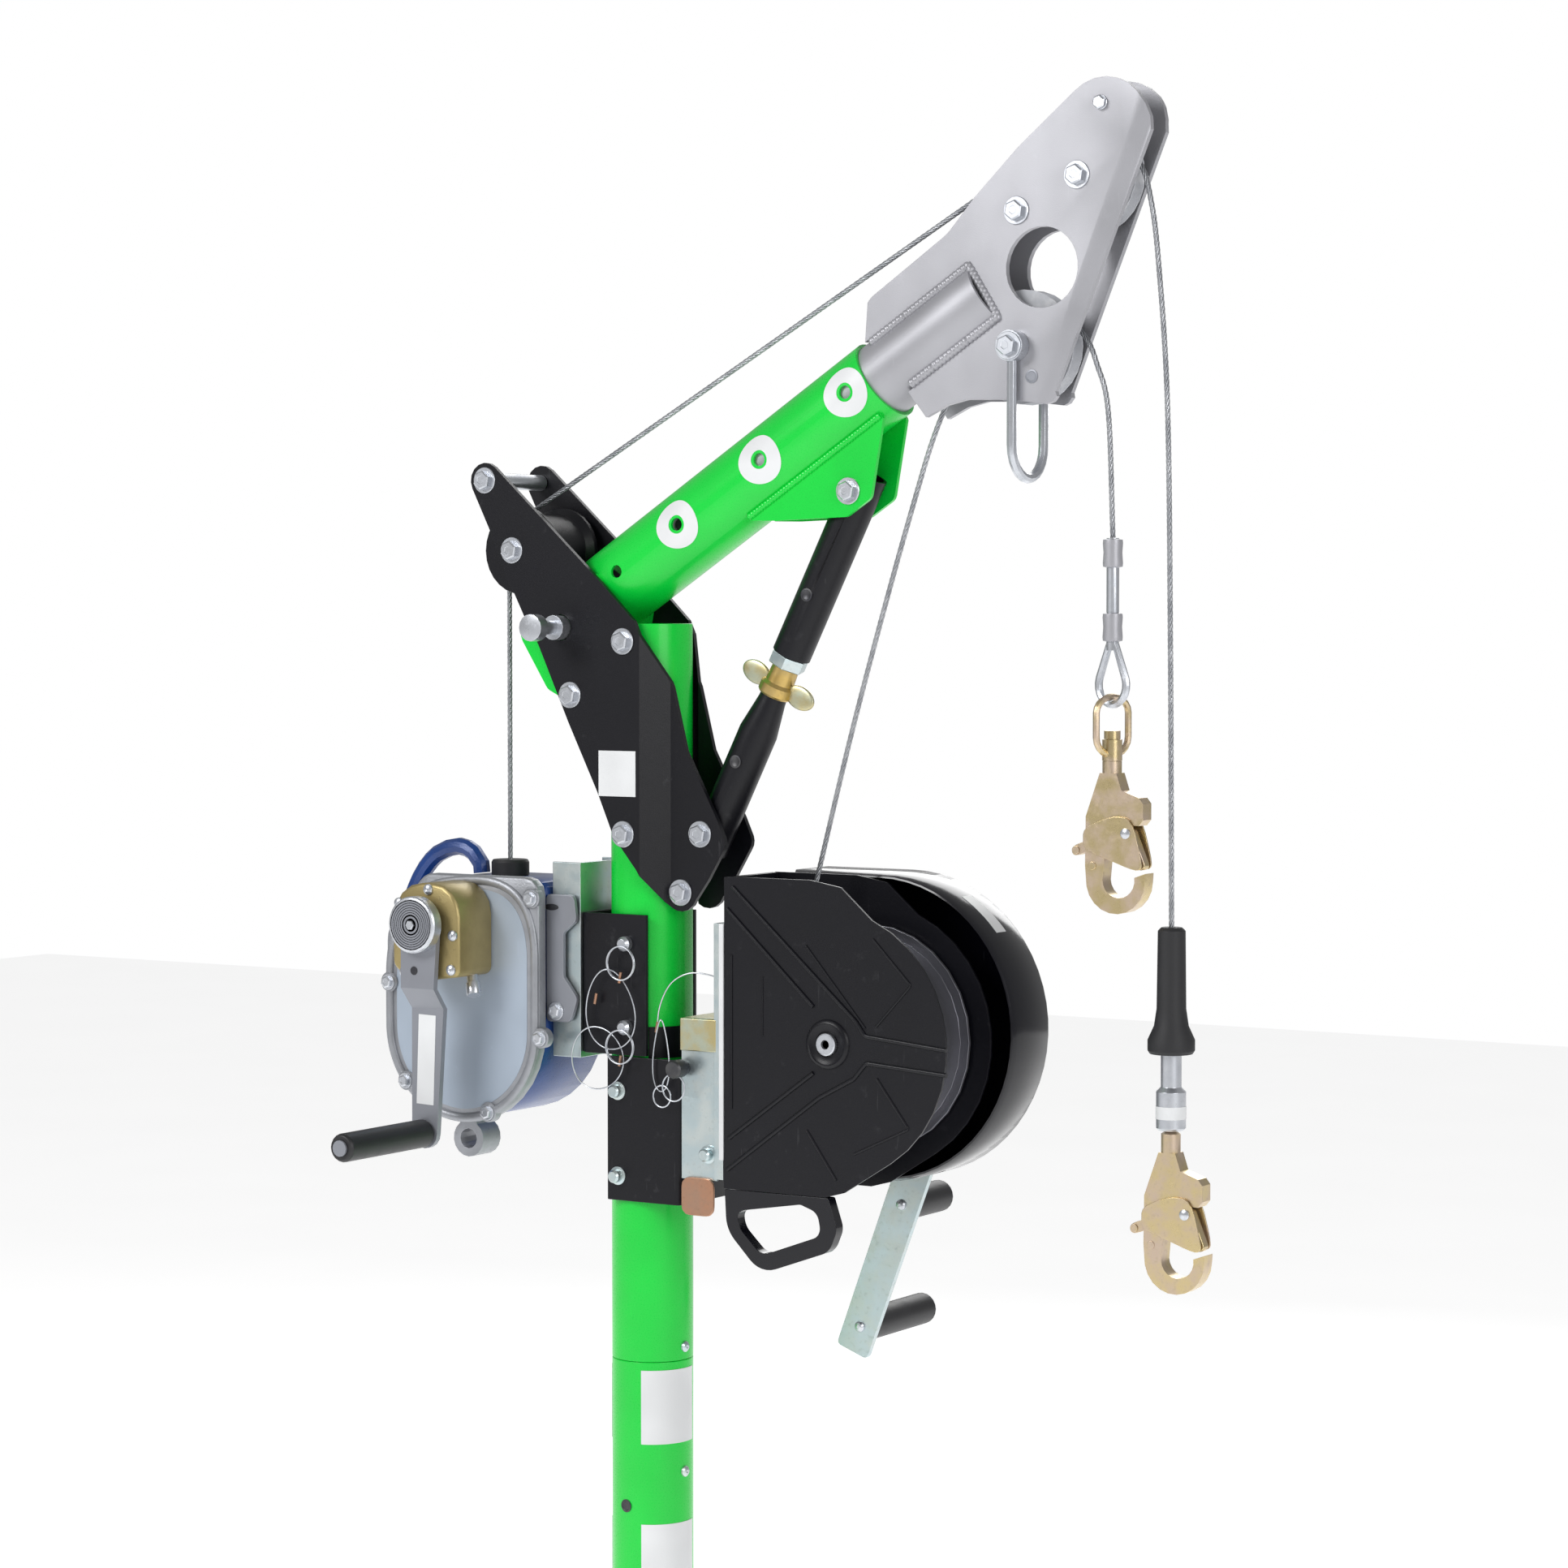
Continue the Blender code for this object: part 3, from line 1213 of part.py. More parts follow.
def mast_sleeve(name, web, open_end, low, high):
    """U-shaped sleeve round the mast, with its web at x = web and its open end at x = open_end."""
    side = 1 if open_end > web else -1
    inner_web = web + side * SLEEVE_WALL
    outer = SLEEVE_INNER + SLEEVE_WALL
    outline = rounded(
        [
            (open_end, -outer),
            (web, -outer, 0.0072),
            (web, outer, 0.0072),
            (open_end, outer),
            (open_end, SLEEVE_INNER),
            (inner_web, SLEEVE_INNER, 0.004),
            (inner_web, -SLEEVE_INNER, 0.004),
            (open_end, -SLEEVE_INNER),
        ],
        3,
    )
    if side < 0:
        outline.reverse()
    sleeve = flat(name, [outline], high - low, BLACK, Matrix.Translation((0, 0, TOP + (low + high) / 2)))
    return as_mesh(sleeve)


# ---------------------------------------------------------------- winch
def winch_outline(radius):
    x, z = WINCH_AXLE
    return (
        [(0.112, -0.229), (0.200, -0.229), (0.232, -0.2345)]
        + arc((x, z), radius, 68, -58, 12)
        + [(0.236, -0.508), (0.216, -0.5135), (0.108, -0.5135)]
    )


def winch_frame():
    """Two side plates joined by a web: the near one carries the drum, the far one the gear housing."""
    near, far = -WINCH_PLATE_SPAN, WINCH_FAR_FACE
    plate = [winch_outline(WINCH_PLATE_RADIUS), circle(WINCH_AXLE, 0.0105)]
    frame = as_mesh(standing("winch_frame", plate, near, near + WINCH_PLATE_THICKNESS, BLACK))
    far_plate = as_mesh(standing("winch_far_plate", plate, far - WINCH_PLATE_THICKNESS, far, BLACK))
    edge = [(0.108, -0.2295), (0.115, -0.2295), (0.115, -0.513), (0.108, -0.513)]
    web = as_mesh(standing("winch_web", [edge], near + 0.001, far - 0.001, BLACK))
    crank_hole = rod("winch_crank_hole", 0.0085, below_top(WINCH_CRANK), 0.03, 0.05)
    cut(join(frame, far_plate, web), crank_hole)


def tub_outline(grow):
    """Flat left side and round right side of the gear housing, grown outwards by 'grow'."""
    x, z = HOUSING_CENTRE
    radius = HOUSING_RADIUS + grow
    left = x - 0.093 - grow
    bottom = math.degrees(math.acos((left - x) / radius))
    return [(left, z + radius)] + arc(HOUSING_CENTRE, radius, 90, -bottom, 36)


def winch():
    winch_frame()
    centre = Matrix.Translation(below_top(WINCH_AXLE)) @ ALONG_Y
    drum = [
        (0.0, 0.0455),
        (0.0100, 0.0455),
        (0.0100, 0.0330),
        (DRUM_RADIUS, 0.0330),
        (DRUM_RADIUS, 0.0295),
        (DRUM_BARREL_RADIUS, 0.0295),
        (DRUM_BARREL_RADIUS, -0.0375),
        (DRUM_RADIUS, -0.0375),
        (DRUM_RADIUS, -0.0410),
        (0.0100, -0.0410),
        (0.0100, -0.0480),
        (0.0, -0.0480),
    ]
    turned("winch_drum", drum, BLACK, centre, WINCH_DRUM_AXIS, ROUND)

    front, inside = WINCH_FAR_FACE + GAP, HOUSING_BACK - HOUSING_WALL
    housing = standing("winch_housing", [tub_outline(0)], front, HOUSING_BACK, GLOSS_BLACK, edge=0.008)
    housing = as_mesh(housing)
    cavity = as_mesh(standing("winch_cavity", [tub_outline(-HOUSING_WALL)], front - 0.01, inside, BLACK))
    crank_hole = rod("housing_crank_hole", 0.0085, below_top(WINCH_CRANK), 0.09, 0.13)
    cut(housing, cavity, crank_hole)

    loop = rounded(
        [
            (0.1090, -0.5140, 0.002),
            (0.1110, -0.5510, 0.032),
            (0.1480, -0.5885, 0.026),
            (0.2205, -0.5625, 0.018),
            (0.2290, -0.5420, 0.016),
            (0.2195, -0.5140, 0.002),
        ],
        6,
    )
    hole = rounded(
        [
            (0.1225, -0.5330, 0.008),
            (0.1245, -0.5480, 0.020),
            (0.1490, -0.5715, 0.014),
            (0.2120, -0.5485, 0.010),
            (0.2080, -0.5280, 0.012),
            (0.1900, -0.5220, 0.008),
        ],
        6,
    )
    standing("winch_loop_handle", [loop, hole], -WINCH_PLATE_SPAN, -WINCH_PLATE_SPAN + 0.012, BLACK)


def winch_crank():
    """Flat arm on the gear housing's pinion shaft, with two spindles that carry its grips."""
    lean = math.radians(20.7)
    start = Vector(WINCH_CRANK)
    outwards = Vector((-math.sin(lean), -math.cos(lean)))
    across = Vector((math.cos(lean), -math.sin(lean)))
    angle = -90 - math.degrees(lean)
    outline = arc(WINCH_CRANK, 0.019, angle - 270, angle - 90, 8)
    tip = start + outwards * (WINCH_CRANK_LENGTH + 0.026)
    side = start - across * 0.019
    outline += corner(side, tip - across * 0.0175, tip + across * 0.0175, 0.004, 2)
    outline += corner(tip - across * 0.0175, tip + across * 0.0175, side + across * 0.038, 0.004, 2)
    near, far = WINCH_CRANK_PLANE, WINCH_CRANK_PLANE + 0.006
    arm = as_mesh(standing("winch_crank", [outline], near, far, ZINC, WINCH_CRANK_AXIS))
    shaft = rod("winch_crank_shaft", 0.008, below_top(WINCH_CRANK), 0.046, far + 0.006, 16)
    spindles = []
    for name, distance, length in (
        ("winch_grip_mid", WINCH_CRANK_LENGTH - 0.127, 0.072),
        ("winch_grip_end", WINCH_CRANK_LENGTH, 0.118),
    ):
        centre = below_top(start + outwards * distance)
        spindles.append(
            turned(
                name + "_spindle",
                [
                    (0.0, far + length + 0.003),
                    (0.0070, far + length + 0.003),
                    (0.0070, far + length + GAP),
                    (0.0045, far + length + GAP),
                    (0.0045, near + 0.002),
                    (0.0, near + 0.002),
                ],
                STEEL,
                Matrix.Translation(centre) @ ALONG_Y,
                steps=SMALL_ROUND,
            )
        )
        axis = pivot_point(name + "_axis", centre)
        radius = WINCH_GRIP_RADIUS
        turned(
            name,
            [
                (radius - 0.005, far + length),
                (radius, far + length - 0.006),
                (radius, far + 0.003),
                (radius - 0.002, far + GAP),
                (0.0048, far + GAP),
                (0.0048, far + length),
            ],
            RUBBER,
            Matrix.Translation(centre) @ ALONG_Y,
            axis,
            20,
            True,
        )
    join(arm, shaft, *spindles)


def winch_mount():
    sleeve_web = MAST_RADIUS + 0.0220
    mast_sleeve("winch_mount_sleeve", sleeve_web, -0.0220, -0.534, -0.400)
    web, end, half, wall = sleeve_web + GAP, 0.0990, 0.0420, 0.003
    channel = [
        (web, -half),
        (end, -half),
        (end, -half + wall),
        (web + wall, -half + wall),
        (web + wall, half - wall),
        (end, half - wall),
        (end, half),
        (web, half),
    ]
    low, high = TOP - 0.508, TOP - 0.378
    bracket = as_mesh(
        flat("winch_bracket", [channel], high - low, ZINC, Matrix.Translation((0, 0, (low + high) / 2)))
    )
    back = as_mesh(
        standing(
            "winch_back_plate",
            [[(0.0975, -0.272), (0.1075, -0.272), (0.1075, -0.506), (0.0975, -0.506)]],
            -WINCH_PLATE_SPAN,
            WINCH_FAR_FACE,
            ZINC,
        )
    )
    join(bracket, back)


masts()
side_plates()
plate_bolts()
idler()
latch_pin()
boom()
strut()
head()
sheaves()
shackle()
held_ropes()
hanging_ropes()
long_rope_hook()
short_rope_hook()
lifeline_unit()
lifeline_crank()
lifeline_mount()
winch()
winch_crank()
winch_mount()
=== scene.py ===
"""The looks of a davit hoist with a hand winch and a retractable lifeline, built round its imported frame."""

import json
import math

import bmesh
import bpy
import numpy as np
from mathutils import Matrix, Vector

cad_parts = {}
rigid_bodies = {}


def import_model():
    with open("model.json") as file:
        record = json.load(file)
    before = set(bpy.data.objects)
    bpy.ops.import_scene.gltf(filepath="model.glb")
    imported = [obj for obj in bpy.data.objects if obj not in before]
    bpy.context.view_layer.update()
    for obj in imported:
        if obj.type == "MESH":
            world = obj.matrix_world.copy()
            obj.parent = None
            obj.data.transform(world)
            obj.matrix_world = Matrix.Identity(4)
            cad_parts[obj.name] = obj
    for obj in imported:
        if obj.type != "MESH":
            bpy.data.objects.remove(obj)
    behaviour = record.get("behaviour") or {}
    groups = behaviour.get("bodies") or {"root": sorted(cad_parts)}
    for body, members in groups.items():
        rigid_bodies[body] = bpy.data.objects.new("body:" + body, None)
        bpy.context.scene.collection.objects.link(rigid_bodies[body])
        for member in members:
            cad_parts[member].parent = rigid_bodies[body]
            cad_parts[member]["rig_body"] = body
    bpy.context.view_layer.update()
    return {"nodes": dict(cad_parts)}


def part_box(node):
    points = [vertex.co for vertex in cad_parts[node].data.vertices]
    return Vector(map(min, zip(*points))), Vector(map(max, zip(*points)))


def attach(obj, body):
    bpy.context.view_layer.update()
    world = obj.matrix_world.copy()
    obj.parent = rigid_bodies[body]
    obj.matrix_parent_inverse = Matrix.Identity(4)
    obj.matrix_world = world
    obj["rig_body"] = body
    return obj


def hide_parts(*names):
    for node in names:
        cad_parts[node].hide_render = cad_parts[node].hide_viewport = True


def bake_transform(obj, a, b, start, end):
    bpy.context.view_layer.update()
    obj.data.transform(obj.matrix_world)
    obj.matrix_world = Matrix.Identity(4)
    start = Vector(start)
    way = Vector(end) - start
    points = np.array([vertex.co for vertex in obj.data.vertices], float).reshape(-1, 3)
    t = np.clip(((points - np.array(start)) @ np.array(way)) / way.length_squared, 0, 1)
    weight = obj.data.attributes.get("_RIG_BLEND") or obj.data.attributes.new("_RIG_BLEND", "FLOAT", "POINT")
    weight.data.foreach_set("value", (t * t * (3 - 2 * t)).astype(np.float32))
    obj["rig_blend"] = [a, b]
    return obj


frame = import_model()


# ---------------------------------------------------------------- studio
# A pale floor under a level camera, a wide soft key from the camera's left and a fill from its right. The
# camera looks slightly down the mast, as a person would who stands a few steps away.
EYE = (2.065, -3.073, 1.398)
EYE_TURN = math.radians(32)
EYE_DIP = math.radians(2.52)

camera_data = bpy.data.cameras.new("eye")
camera_data.lens = 91.4
camera_data.sensor_width = 36.0
camera = bpy.data.objects.new("eye", camera_data)
camera.location = EYE
camera.rotation_euler = (math.pi / 2 - EYE_DIP, 0.0, EYE_TURN)
bpy.context.scene.collection.objects.link(camera)
bpy.context.scene.camera = camera


def soft_light(name, place, aim, size, watts):
    """A square area light that faces a point."""
    data = bpy.data.lights.new(name, "AREA")
    data.size = size
    data.energy = watts
    lamp = bpy.data.objects.new(name, data)
    lamp.location = place
    lamp.rotation_euler = (Vector(aim) - Vector(place)).to_track_quat("-Z", "Y").to_euler()
    bpy.context.scene.collection.objects.link(lamp)


soft_light("key", (-1.3, -3.2, 3.3), (0.1, 0.0, 1.2), 1.6, 95)
soft_light("fill", (3.4, -1.4, 2.2), (0.2, 0.0, 1.1), 1.8, 45)
soft_light("back", (-0.8, 3.2, 2.6), (0.1, 0.0, 1.1), 2.0, 40)

# The backdrop itself is brighter than the light it throws, as paper is that has lamps of its own.
world = bpy.data.worlds.new("studio")
world.use_nodes = True
backdrop = world.node_tree.nodes["Background"]
backdrop.inputs["Color"].default_value = (1.0, 1.0, 1.0, 1.0)
seen = world.node_tree.nodes.new("ShaderNodeLightPath")
glow = world.node_tree.nodes.new("ShaderNodeMapRange")
glow.inputs["To Min"].default_value = 0.36
glow.inputs["To Max"].default_value = 1.0
world.node_tree.links.new(seen.outputs["Is Camera Ray"], glow.inputs["Value"])
world.node_tree.links.new(glow.outputs["Result"], backdrop.inputs["Strength"])
bpy.context.scene.world = world
bpy.context.scene.view_settings.view_transform = "Standard"


# ---------------------------------------------------------------- floor
# A plain pale floor, brighter than its light alone would make it, as a studio table is that is lit from below.
# A finish's colour, roughness and relief vary over its surface; the sizes in its patterns are metres on the piece.
class Term:
    """A value inside a material. Arithmetic on terms adds Math nodes, and 'node' adds any other node."""

    tree = None

    def __init__(self, socket):
        self.socket = socket

    @classmethod
    def node(cls, kind, settings=None, output=0, **inputs):
        made = cls.tree.nodes.new(kind)
        for key, value in (settings or {}).items():
            setattr(made, key, value)
        for key, value in inputs.items():
            name = key.replace("_", " ")
            socket = made.inputs[int(key[1:])] if key[0] == "i" and key[1:].isdigit() else made.inputs[name]
            if isinstance(value, Term):
                cls.tree.links.new(value.socket, socket)
            else:
                socket.default_value = value
        return cls(made.outputs[output])

    def math(self, operation, *others):
        values = {"i%d" % i: value for i, value in enumerate((self, *others))}
        return Term.node("ShaderNodeMath", {"operation": operation}, **values)

    def __add__(self, other):
        return self.math("ADD", other)

    def __sub__(self, other):
        return self.math("SUBTRACT", other)

    def __mul__(self, other):
        return self.math("MULTIPLY", other)

    def __rsub__(self, other):
        return Term.node("ShaderNodeMath", {"operation": "SUBTRACT"}, i0=other, i1=self)

    __radd__ = __add__
    __rmul__ = __mul__

    def over(self, low, high):
        """0 below low, 1 above high, smooth between."""
        return Term.node("ShaderNodeMapRange", {"interpolation_type": "SMOOTHSTEP"}, i0=self, i1=low, i2=high)

    def blend(self, first, second):
        """first where this is 0 and second where it is 1, for colours."""
        mix = {"data_type": "RGBA"}
        colours = [(*c, 1.0) if isinstance(c, tuple) else c for c in (first, second)]
        return Term.node("ShaderNodeMix", mix, output=2, i0=self, i6=colours[0], i7=colours[1])


def on_object():
    return Term.node("ShaderNodeTexCoord", output=3)


def noise(size, detail=3.0, stretch=None):
    """Cloudy noise whose features are about 'size' metres across."""
    place = on_object()
    if stretch:
        place = Term.node("ShaderNodeMapping", i0=place, i3=stretch)
    return Term.node("ShaderNodeTexNoise", Vector=place, Scale=1.0 / size, Detail=detail, Roughness=0.55)


def start_finish(name, **fixed):
    """A new material with its fixed shader values set. Returns it and its shader."""
    material = bpy.data.materials.new(name)
    material.use_nodes = True
    Term.tree = material.node_tree
    shader = material.node_tree.nodes["Principled BSDF"]
    for key, value in fixed.items():
        shader.inputs[key.replace("_", " ")].default_value = value
    return material, shader


def feed(shader, **values):
    for key, value in values.items():
        Term.tree.links.new(value.socket, shader.inputs[key.replace("_", " ")])


floor_material, floor_shader = start_finish("floor", Roughness=0.8, Emission_Strength=0.56)
floor_shader.inputs["Emission Color"].default_value = (1.0, 1.0, 1.0, 1.0)
feed(floor_shader, Base_Color=noise(0.4, 3.0).over(0.2, 0.8).blend((0.93, 0.93, 0.93), (0.96, 0.96, 0.96)))
floor_mesh = bpy.data.meshes.new("floor")
floor_mesh.from_pydata([(-9, -9, 0), (9, -9, 0), (9, 9, 0), (-9, 9, 0)], [], [(0, 1, 2, 3)])
floor_mesh.materials.append(floor_material)
floor = bpy.data.objects.new("floor", floor_mesh)
bpy.context.scene.collection.objects.link(floor)


# ---------------------------------------------------------------- hanging ropes
# Galvanised wire rope, 4.8 mm, of six twisted strands. Each leaves its sheave, bows outwards because the
# rope is springy, and hangs down to its hook. The lifeline's is 0.73 m long and the winch's 0.21 m.
def relief(height, depth):
    """A bump from a height term; depth is how far its 0 to 1 range stands out, in metres."""
    return Term.node("ShaderNodeBump", Height=height, Distance=depth, Strength=1.0)


def shade(colour, factor):
    return tuple(min(1.0, channel * factor) for channel in colour)


def plated(name, colour, tint, roughness, depth=0.00002, stains=0.35):
    """Zinc or nickel plate on steel: metal with a slightly iridescent mottle, water marks and fine draw lines."""
    material, shader = start_finish(name, Metallic=0.92)
    cloud = noise(0.018, 5.0).over(0.35, 0.68)
    marks = noise(0.0045, 3.0).over(0.55, 0.72)
    lines = noise(0.0015, 2.0)
    base = cloud.blend(colour, tint)
    base = (marks * stains).blend(base, shade(colour, 0.72))
    feed(
        shader,
        Base_Color=base,
        Roughness=roughness + cloud * 0.10 + marks * 0.08 + (lines - 0.5) * 0.08,
        Normal=relief(lines, depth),
    )
    return material


WIRE = plated("galvanised wire", (0.42, 0.43, 0.45), (0.28, 0.29, 0.31), 0.36)
ROPE_RADIUS = 0.0024
STRANDS = 6
LAY_LENGTH = 0.034
SHEAVE_ROPE_RADIUS = 0.0425


def middle(node):
    """Centre of the box round a CAD node."""
    low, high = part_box(node)
    return (low + high) / 2


def resample(points, step):
    """Points at an even spacing along a polyline."""
    points = np.asarray(points, float)
    lengths = np.concatenate([[0], np.cumsum(np.linalg.norm(np.diff(points, axis=0), axis=1))])
    count = max(2, int(round(lengths[-1] / step)) + 1)
    at = np.linspace(0, lengths[-1], count)
    return np.stack([np.interp(at, lengths, points[:, i]) for i in range(3)], axis=1)


def smooth_route(points, step=0.004, start=None):
    """A Catmull-Rom curve through the route's points, then points at an even spacing on it."""
    points = np.asarray(points, float)
    first = points[:1] - (points[1:2] - points[:1] if start is None else np.asarray([start]))
    route = np.concatenate([first, points, points[-1:] * 2 - points[-2:-1]])
    t = np.linspace(0, 1, 24, endpoint=False)[:, None]
    runs = []
    for a, b, c, d in zip(route, route[1:], route[2:], route[3:]):
        bend = 2 * b + (c - a) * t + (2 * a - 5 * b + 4 * c - d) * t**2 + (3 * b - a - 3 * c + d) * t**3
        runs.append(0.5 * bend)
    return resample(np.concatenate(runs + [points[-1:]]), step)


def frames_along(path, up=(0.0, 1.0, 0.0)):
    """Unit tangent, side and normal at each point of a path that never runs along 'up'."""
    tangent = np.gradient(path, axis=0)
    tangent /= np.linalg.norm(tangent, axis=1, keepdims=True)
    side = np.cross(np.broadcast_to(np.asarray(up, float), tangent.shape), tangent)
    side /= np.linalg.norm(side, axis=1, keepdims=True)
    return tangent, side, np.cross(tangent, side)


def skin(rings, closed=False, caps=True):
    """Vertices and quads of a tube from rings of shape (rings, sides, 3), capped by fans at its open ends."""
    count, sides, _ = rings.shape
    verts = rings.reshape(-1, 3)
    i = np.arange(count if closed else count - 1)[:, None]
    j = np.arange(sides)[None, :]
    here, after = i * sides, ((i + 1) % count) * sides
    quads = np.stack([here + j, here + (j + 1) % sides, after + (j + 1) % sides, after + j], axis=2).reshape(-1, 4)
    faces = [tuple(q) for q in quads.tolist()]
    if caps and not closed:
        faces.append(tuple(range(sides))[::-1])
        faces.append(tuple(range((count - 1) * sides, count * sides)))
    return verts, faces


def piece(name, parts, material, body, sharp=40, bevel=0.0):
    """One mesh from several (vertices, faces) parts, with outward faces, riding on a body."""
    verts, faces, start = [], [], 0
    for part_verts, part_faces in parts:
        verts.append(np.asarray(part_verts, float))
        faces += [tuple(index + start for index in face) for face in part_faces]
        start += len(part_verts)
    mesh = bpy.data.meshes.new(name)
    mesh.from_pydata(np.concatenate(verts).tolist(), [], faces)
    made = bpy.data.objects.new(name, mesh)
    bpy.context.scene.collection.objects.link(made)
    return settle(made, material, body, sharp, bevel)


def settle(made, material, body, sharp=40, bevel=0.0, segments=2):
    """Welds a mesh, turns its faces outwards, shades it, and hangs it on its body."""
    mesh = made.data
    shape = bmesh.new()
    shape.from_mesh(mesh)
    bmesh.ops.remove_doubles(shape, verts=shape.verts, dist=0.000005)
    bmesh.ops.recalc_face_normals(shape, faces=shape.faces)
    shape.to_mesh(mesh)
    shape.free()
    mesh.materials.clear()
    mesh.materials.append(material)
    mesh.shade_smooth()
    mesh.set_sharp_from_angle(angle=math.radians(sharp))
    if bevel:
        rounding = made.modifiers.new("edge", "BEVEL")
        rounding.width = bevel
        rounding.segments = segments
        rounding.limit_method = "ANGLE"
        rounding.angle_limit = math.radians(sharp)
        rounding.harden_normals = True
    if isinstance(body, str):
        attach(made, body)
    return made


def strands(path):
    """Each strand is a small tube whose centre winds round the path once in a lay length."""
    tangent, side, normal = frames_along(path)
    distance = np.concatenate([[0], np.cumsum(np.linalg.norm(np.diff(path, axis=0), axis=1))])
    strand = ROPE_RADIUS * 0.36
    made = []
    for turn in range(STRANDS):
        wind = 2 * math.pi * (distance / LAY_LENGTH + turn / STRANDS)
        out = np.cos(wind)[:, None] * side + np.sin(wind)[:, None] * normal
        around = np.cos(wind)[:, None] * normal - np.sin(wind)[:, None] * side
        centre = path + out * (ROPE_RADIUS - strand)
        angle = np.linspace(0, 2 * math.pi, 8, endpoint=False)
        ring = np.cos(angle)[None, :, None] * out[:, None, :] + np.sin(angle)[None, :, None] * around[:, None, :]
        made.append(skin(centre[:, None, :] + ring * strand))
    return made


upper_axle, lower_axle = middle("upper_sheave"), middle("lower_sheave")


def round_axle(centre, radius, angles):
    angles = np.asarray(angles, float)
    zeros = np.zeros_like(angles)
    return np.asarray(centre) + radius * np.stack([np.cos(angles), zeros, np.sin(angles)], axis=1)


LEAVE = math.pi / 4 - 0.012
DROP_A = ((0.0499, 0.0081), (0.0593, -0.0203), (0.0670, -0.0733), (0.0764, -0.1989), (0.0802, -0.4079),
          (0.0826, -0.6664))
DROP_B = ((0.0560, 0.0080), (0.0680, -0.0170), (0.0790, -0.0580), (0.0840, -0.1666))

hanging = {}
for name, axle, route in (("rope_a", upper_axle, DROP_A), ("rope_b", lower_axle, DROP_B)):
    start = round_axle(axle, SHEAVE_ROPE_RADIUS, [LEAVE])
    rest = np.array([[axle.x + x, 0.0, axle.z + z] for x, z in route])
    path = smooth_route(np.concatenate([start, rest]), 0.003, (0.03, 0.0, -0.03))
    rope = piece(name + "_wire", strands(path), WIRE, name, 80)
    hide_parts("rope_drop_" + name[-1])
    hanging[name] = (rope, path)


# ---------------------------------------------------------------- held ropes
# The lifeline's rope climbs from its unit, turns over the idler and runs to the upper sheave. The winch's
# runs straight up to the lower sheave. Both stretch across the boom's pivot and its slide.
def over_joints(name, path, first, second, cut):
    """Two rope pieces that meet near 'cut'. Each bends between two bodies, from one of its points to another."""
    distance = np.linalg.norm(path - np.asarray(cut), axis=1)
    at = int(distance.argmin())
    for part, run, bodies in (("low", path[: at + 1], first), ("high", path[at:], second)):
        made = piece("%s_%s" % (name, part), strands(run), WIRE, None, 80)
        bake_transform(made, bodies[0], bodies[1], start=run[bodies[2]], end=run[bodies[3]])
        if part == "low":
            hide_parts(name)


idler_axle = middle("idler_roller")
idler_wrap = 0.0350 + ROPE_RADIUS + 0.0003
outlet_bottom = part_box("srl_rope_outlet")[0].z
span = upper_axle - idler_axle
lift_off = math.atan2(span.z, span.x) + math.acos((idler_wrap - SHEAVE_ROPE_RADIUS) / math.hypot(span.x, span.z))
lifeline = np.concatenate(
    [
        [[idler_axle.x - idler_wrap, 0.0, outlet_bottom]],
        round_axle(idler_axle, idler_wrap, np.linspace(math.pi, lift_off, 24)),
        round_axle(upper_axle, SHEAVE_ROPE_RADIUS, np.linspace(lift_off, math.pi / 4, 24)),
    ]
)
lifeline = resample(lifeline, 0.003)
over_joints("rope_srl", lifeline, ("mast", "boom", 120, -60), ("boom", "head", 20, -50), (0.12, 0.0, 1.62))

winch_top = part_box("winch_frame")[1].z
winch_route = [
    (0.1755, 0.0, winch_top - 0.0190),
    (0.2216, 0.0, winch_top + 0.1477),
    (0.2774, 0.0, winch_top + 0.3259),
    (0.3124, 0.0, winch_top + 0.4190),
]
winch_path = smooth_route(
    np.concatenate([winch_route, round_axle(lower_axle, SHEAVE_ROPE_RADIUS, [math.radians(146)])])
)
wrap = round_axle(lower_axle, SHEAVE_ROPE_RADIUS, np.radians(np.linspace(146, 45, 24)))
winch_path = resample(np.concatenate([winch_path[:-1], wrap]), 0.003)
over_joints("rope_winch", winch_path, ("mast", "boom", 1, -2), ("boom", "head", 1, -27), (0.20, 0.0, 1.22))


# ---------------------------------------------------------------- masts, boom and side plates
# Steel tube and folded plate, sawn, pressed, welded and powder coated, with a turned roller and pin and a rubber
# foot. Each keeps its frame shape and gets the small radius that its tool leaves on its edges.
def coated(name, colour, roughness, metallic=0.0, coat=0.0, grain=0.0012, depth=0.00006, mottle=0.08, scuffs=0.25,
           mirror=0.5):
    """Paint or powder coat: orange-peel relief, faint mottling, and dull rubbed patches with pale fine scratches."""
    fixed = {"Metallic": metallic, "Coat_Weight": coat, "Coat_Roughness": 0.12, "Specular_IOR_Level": mirror}
    material, shader = start_finish(name, **fixed)
    patches = noise(0.05, 4.0).over(0.42, 0.68)
    rubbed = noise(0.012, 5.0).over(0.60, 0.74) * patches
    scratches = noise(0.004, 2.0, stretch=(1.0, 1.0, 0.08)).over(0.70, 0.74) * patches
    tone = noise(0.09, 2.0)
    base = tone.over(0.3, 0.7).blend(shade(colour, 1 - mottle), shade(colour, 1 + mottle))
    worn = (rubbed * 0.35 + scratches * 0.5) * scuffs
    base = worn.blend(base, shade(colour, 1.5) if max(colour) > 0.2 else (0.16, 0.16, 0.17))
    grainy = noise(grain, 2.0)
    feed(
        shader,
        Base_Color=base,
        Roughness=roughness + (grainy - 0.5) * 0.06 + rubbed * 0.10 * scuffs,
        Normal=relief(grainy, depth),
    )
    return material


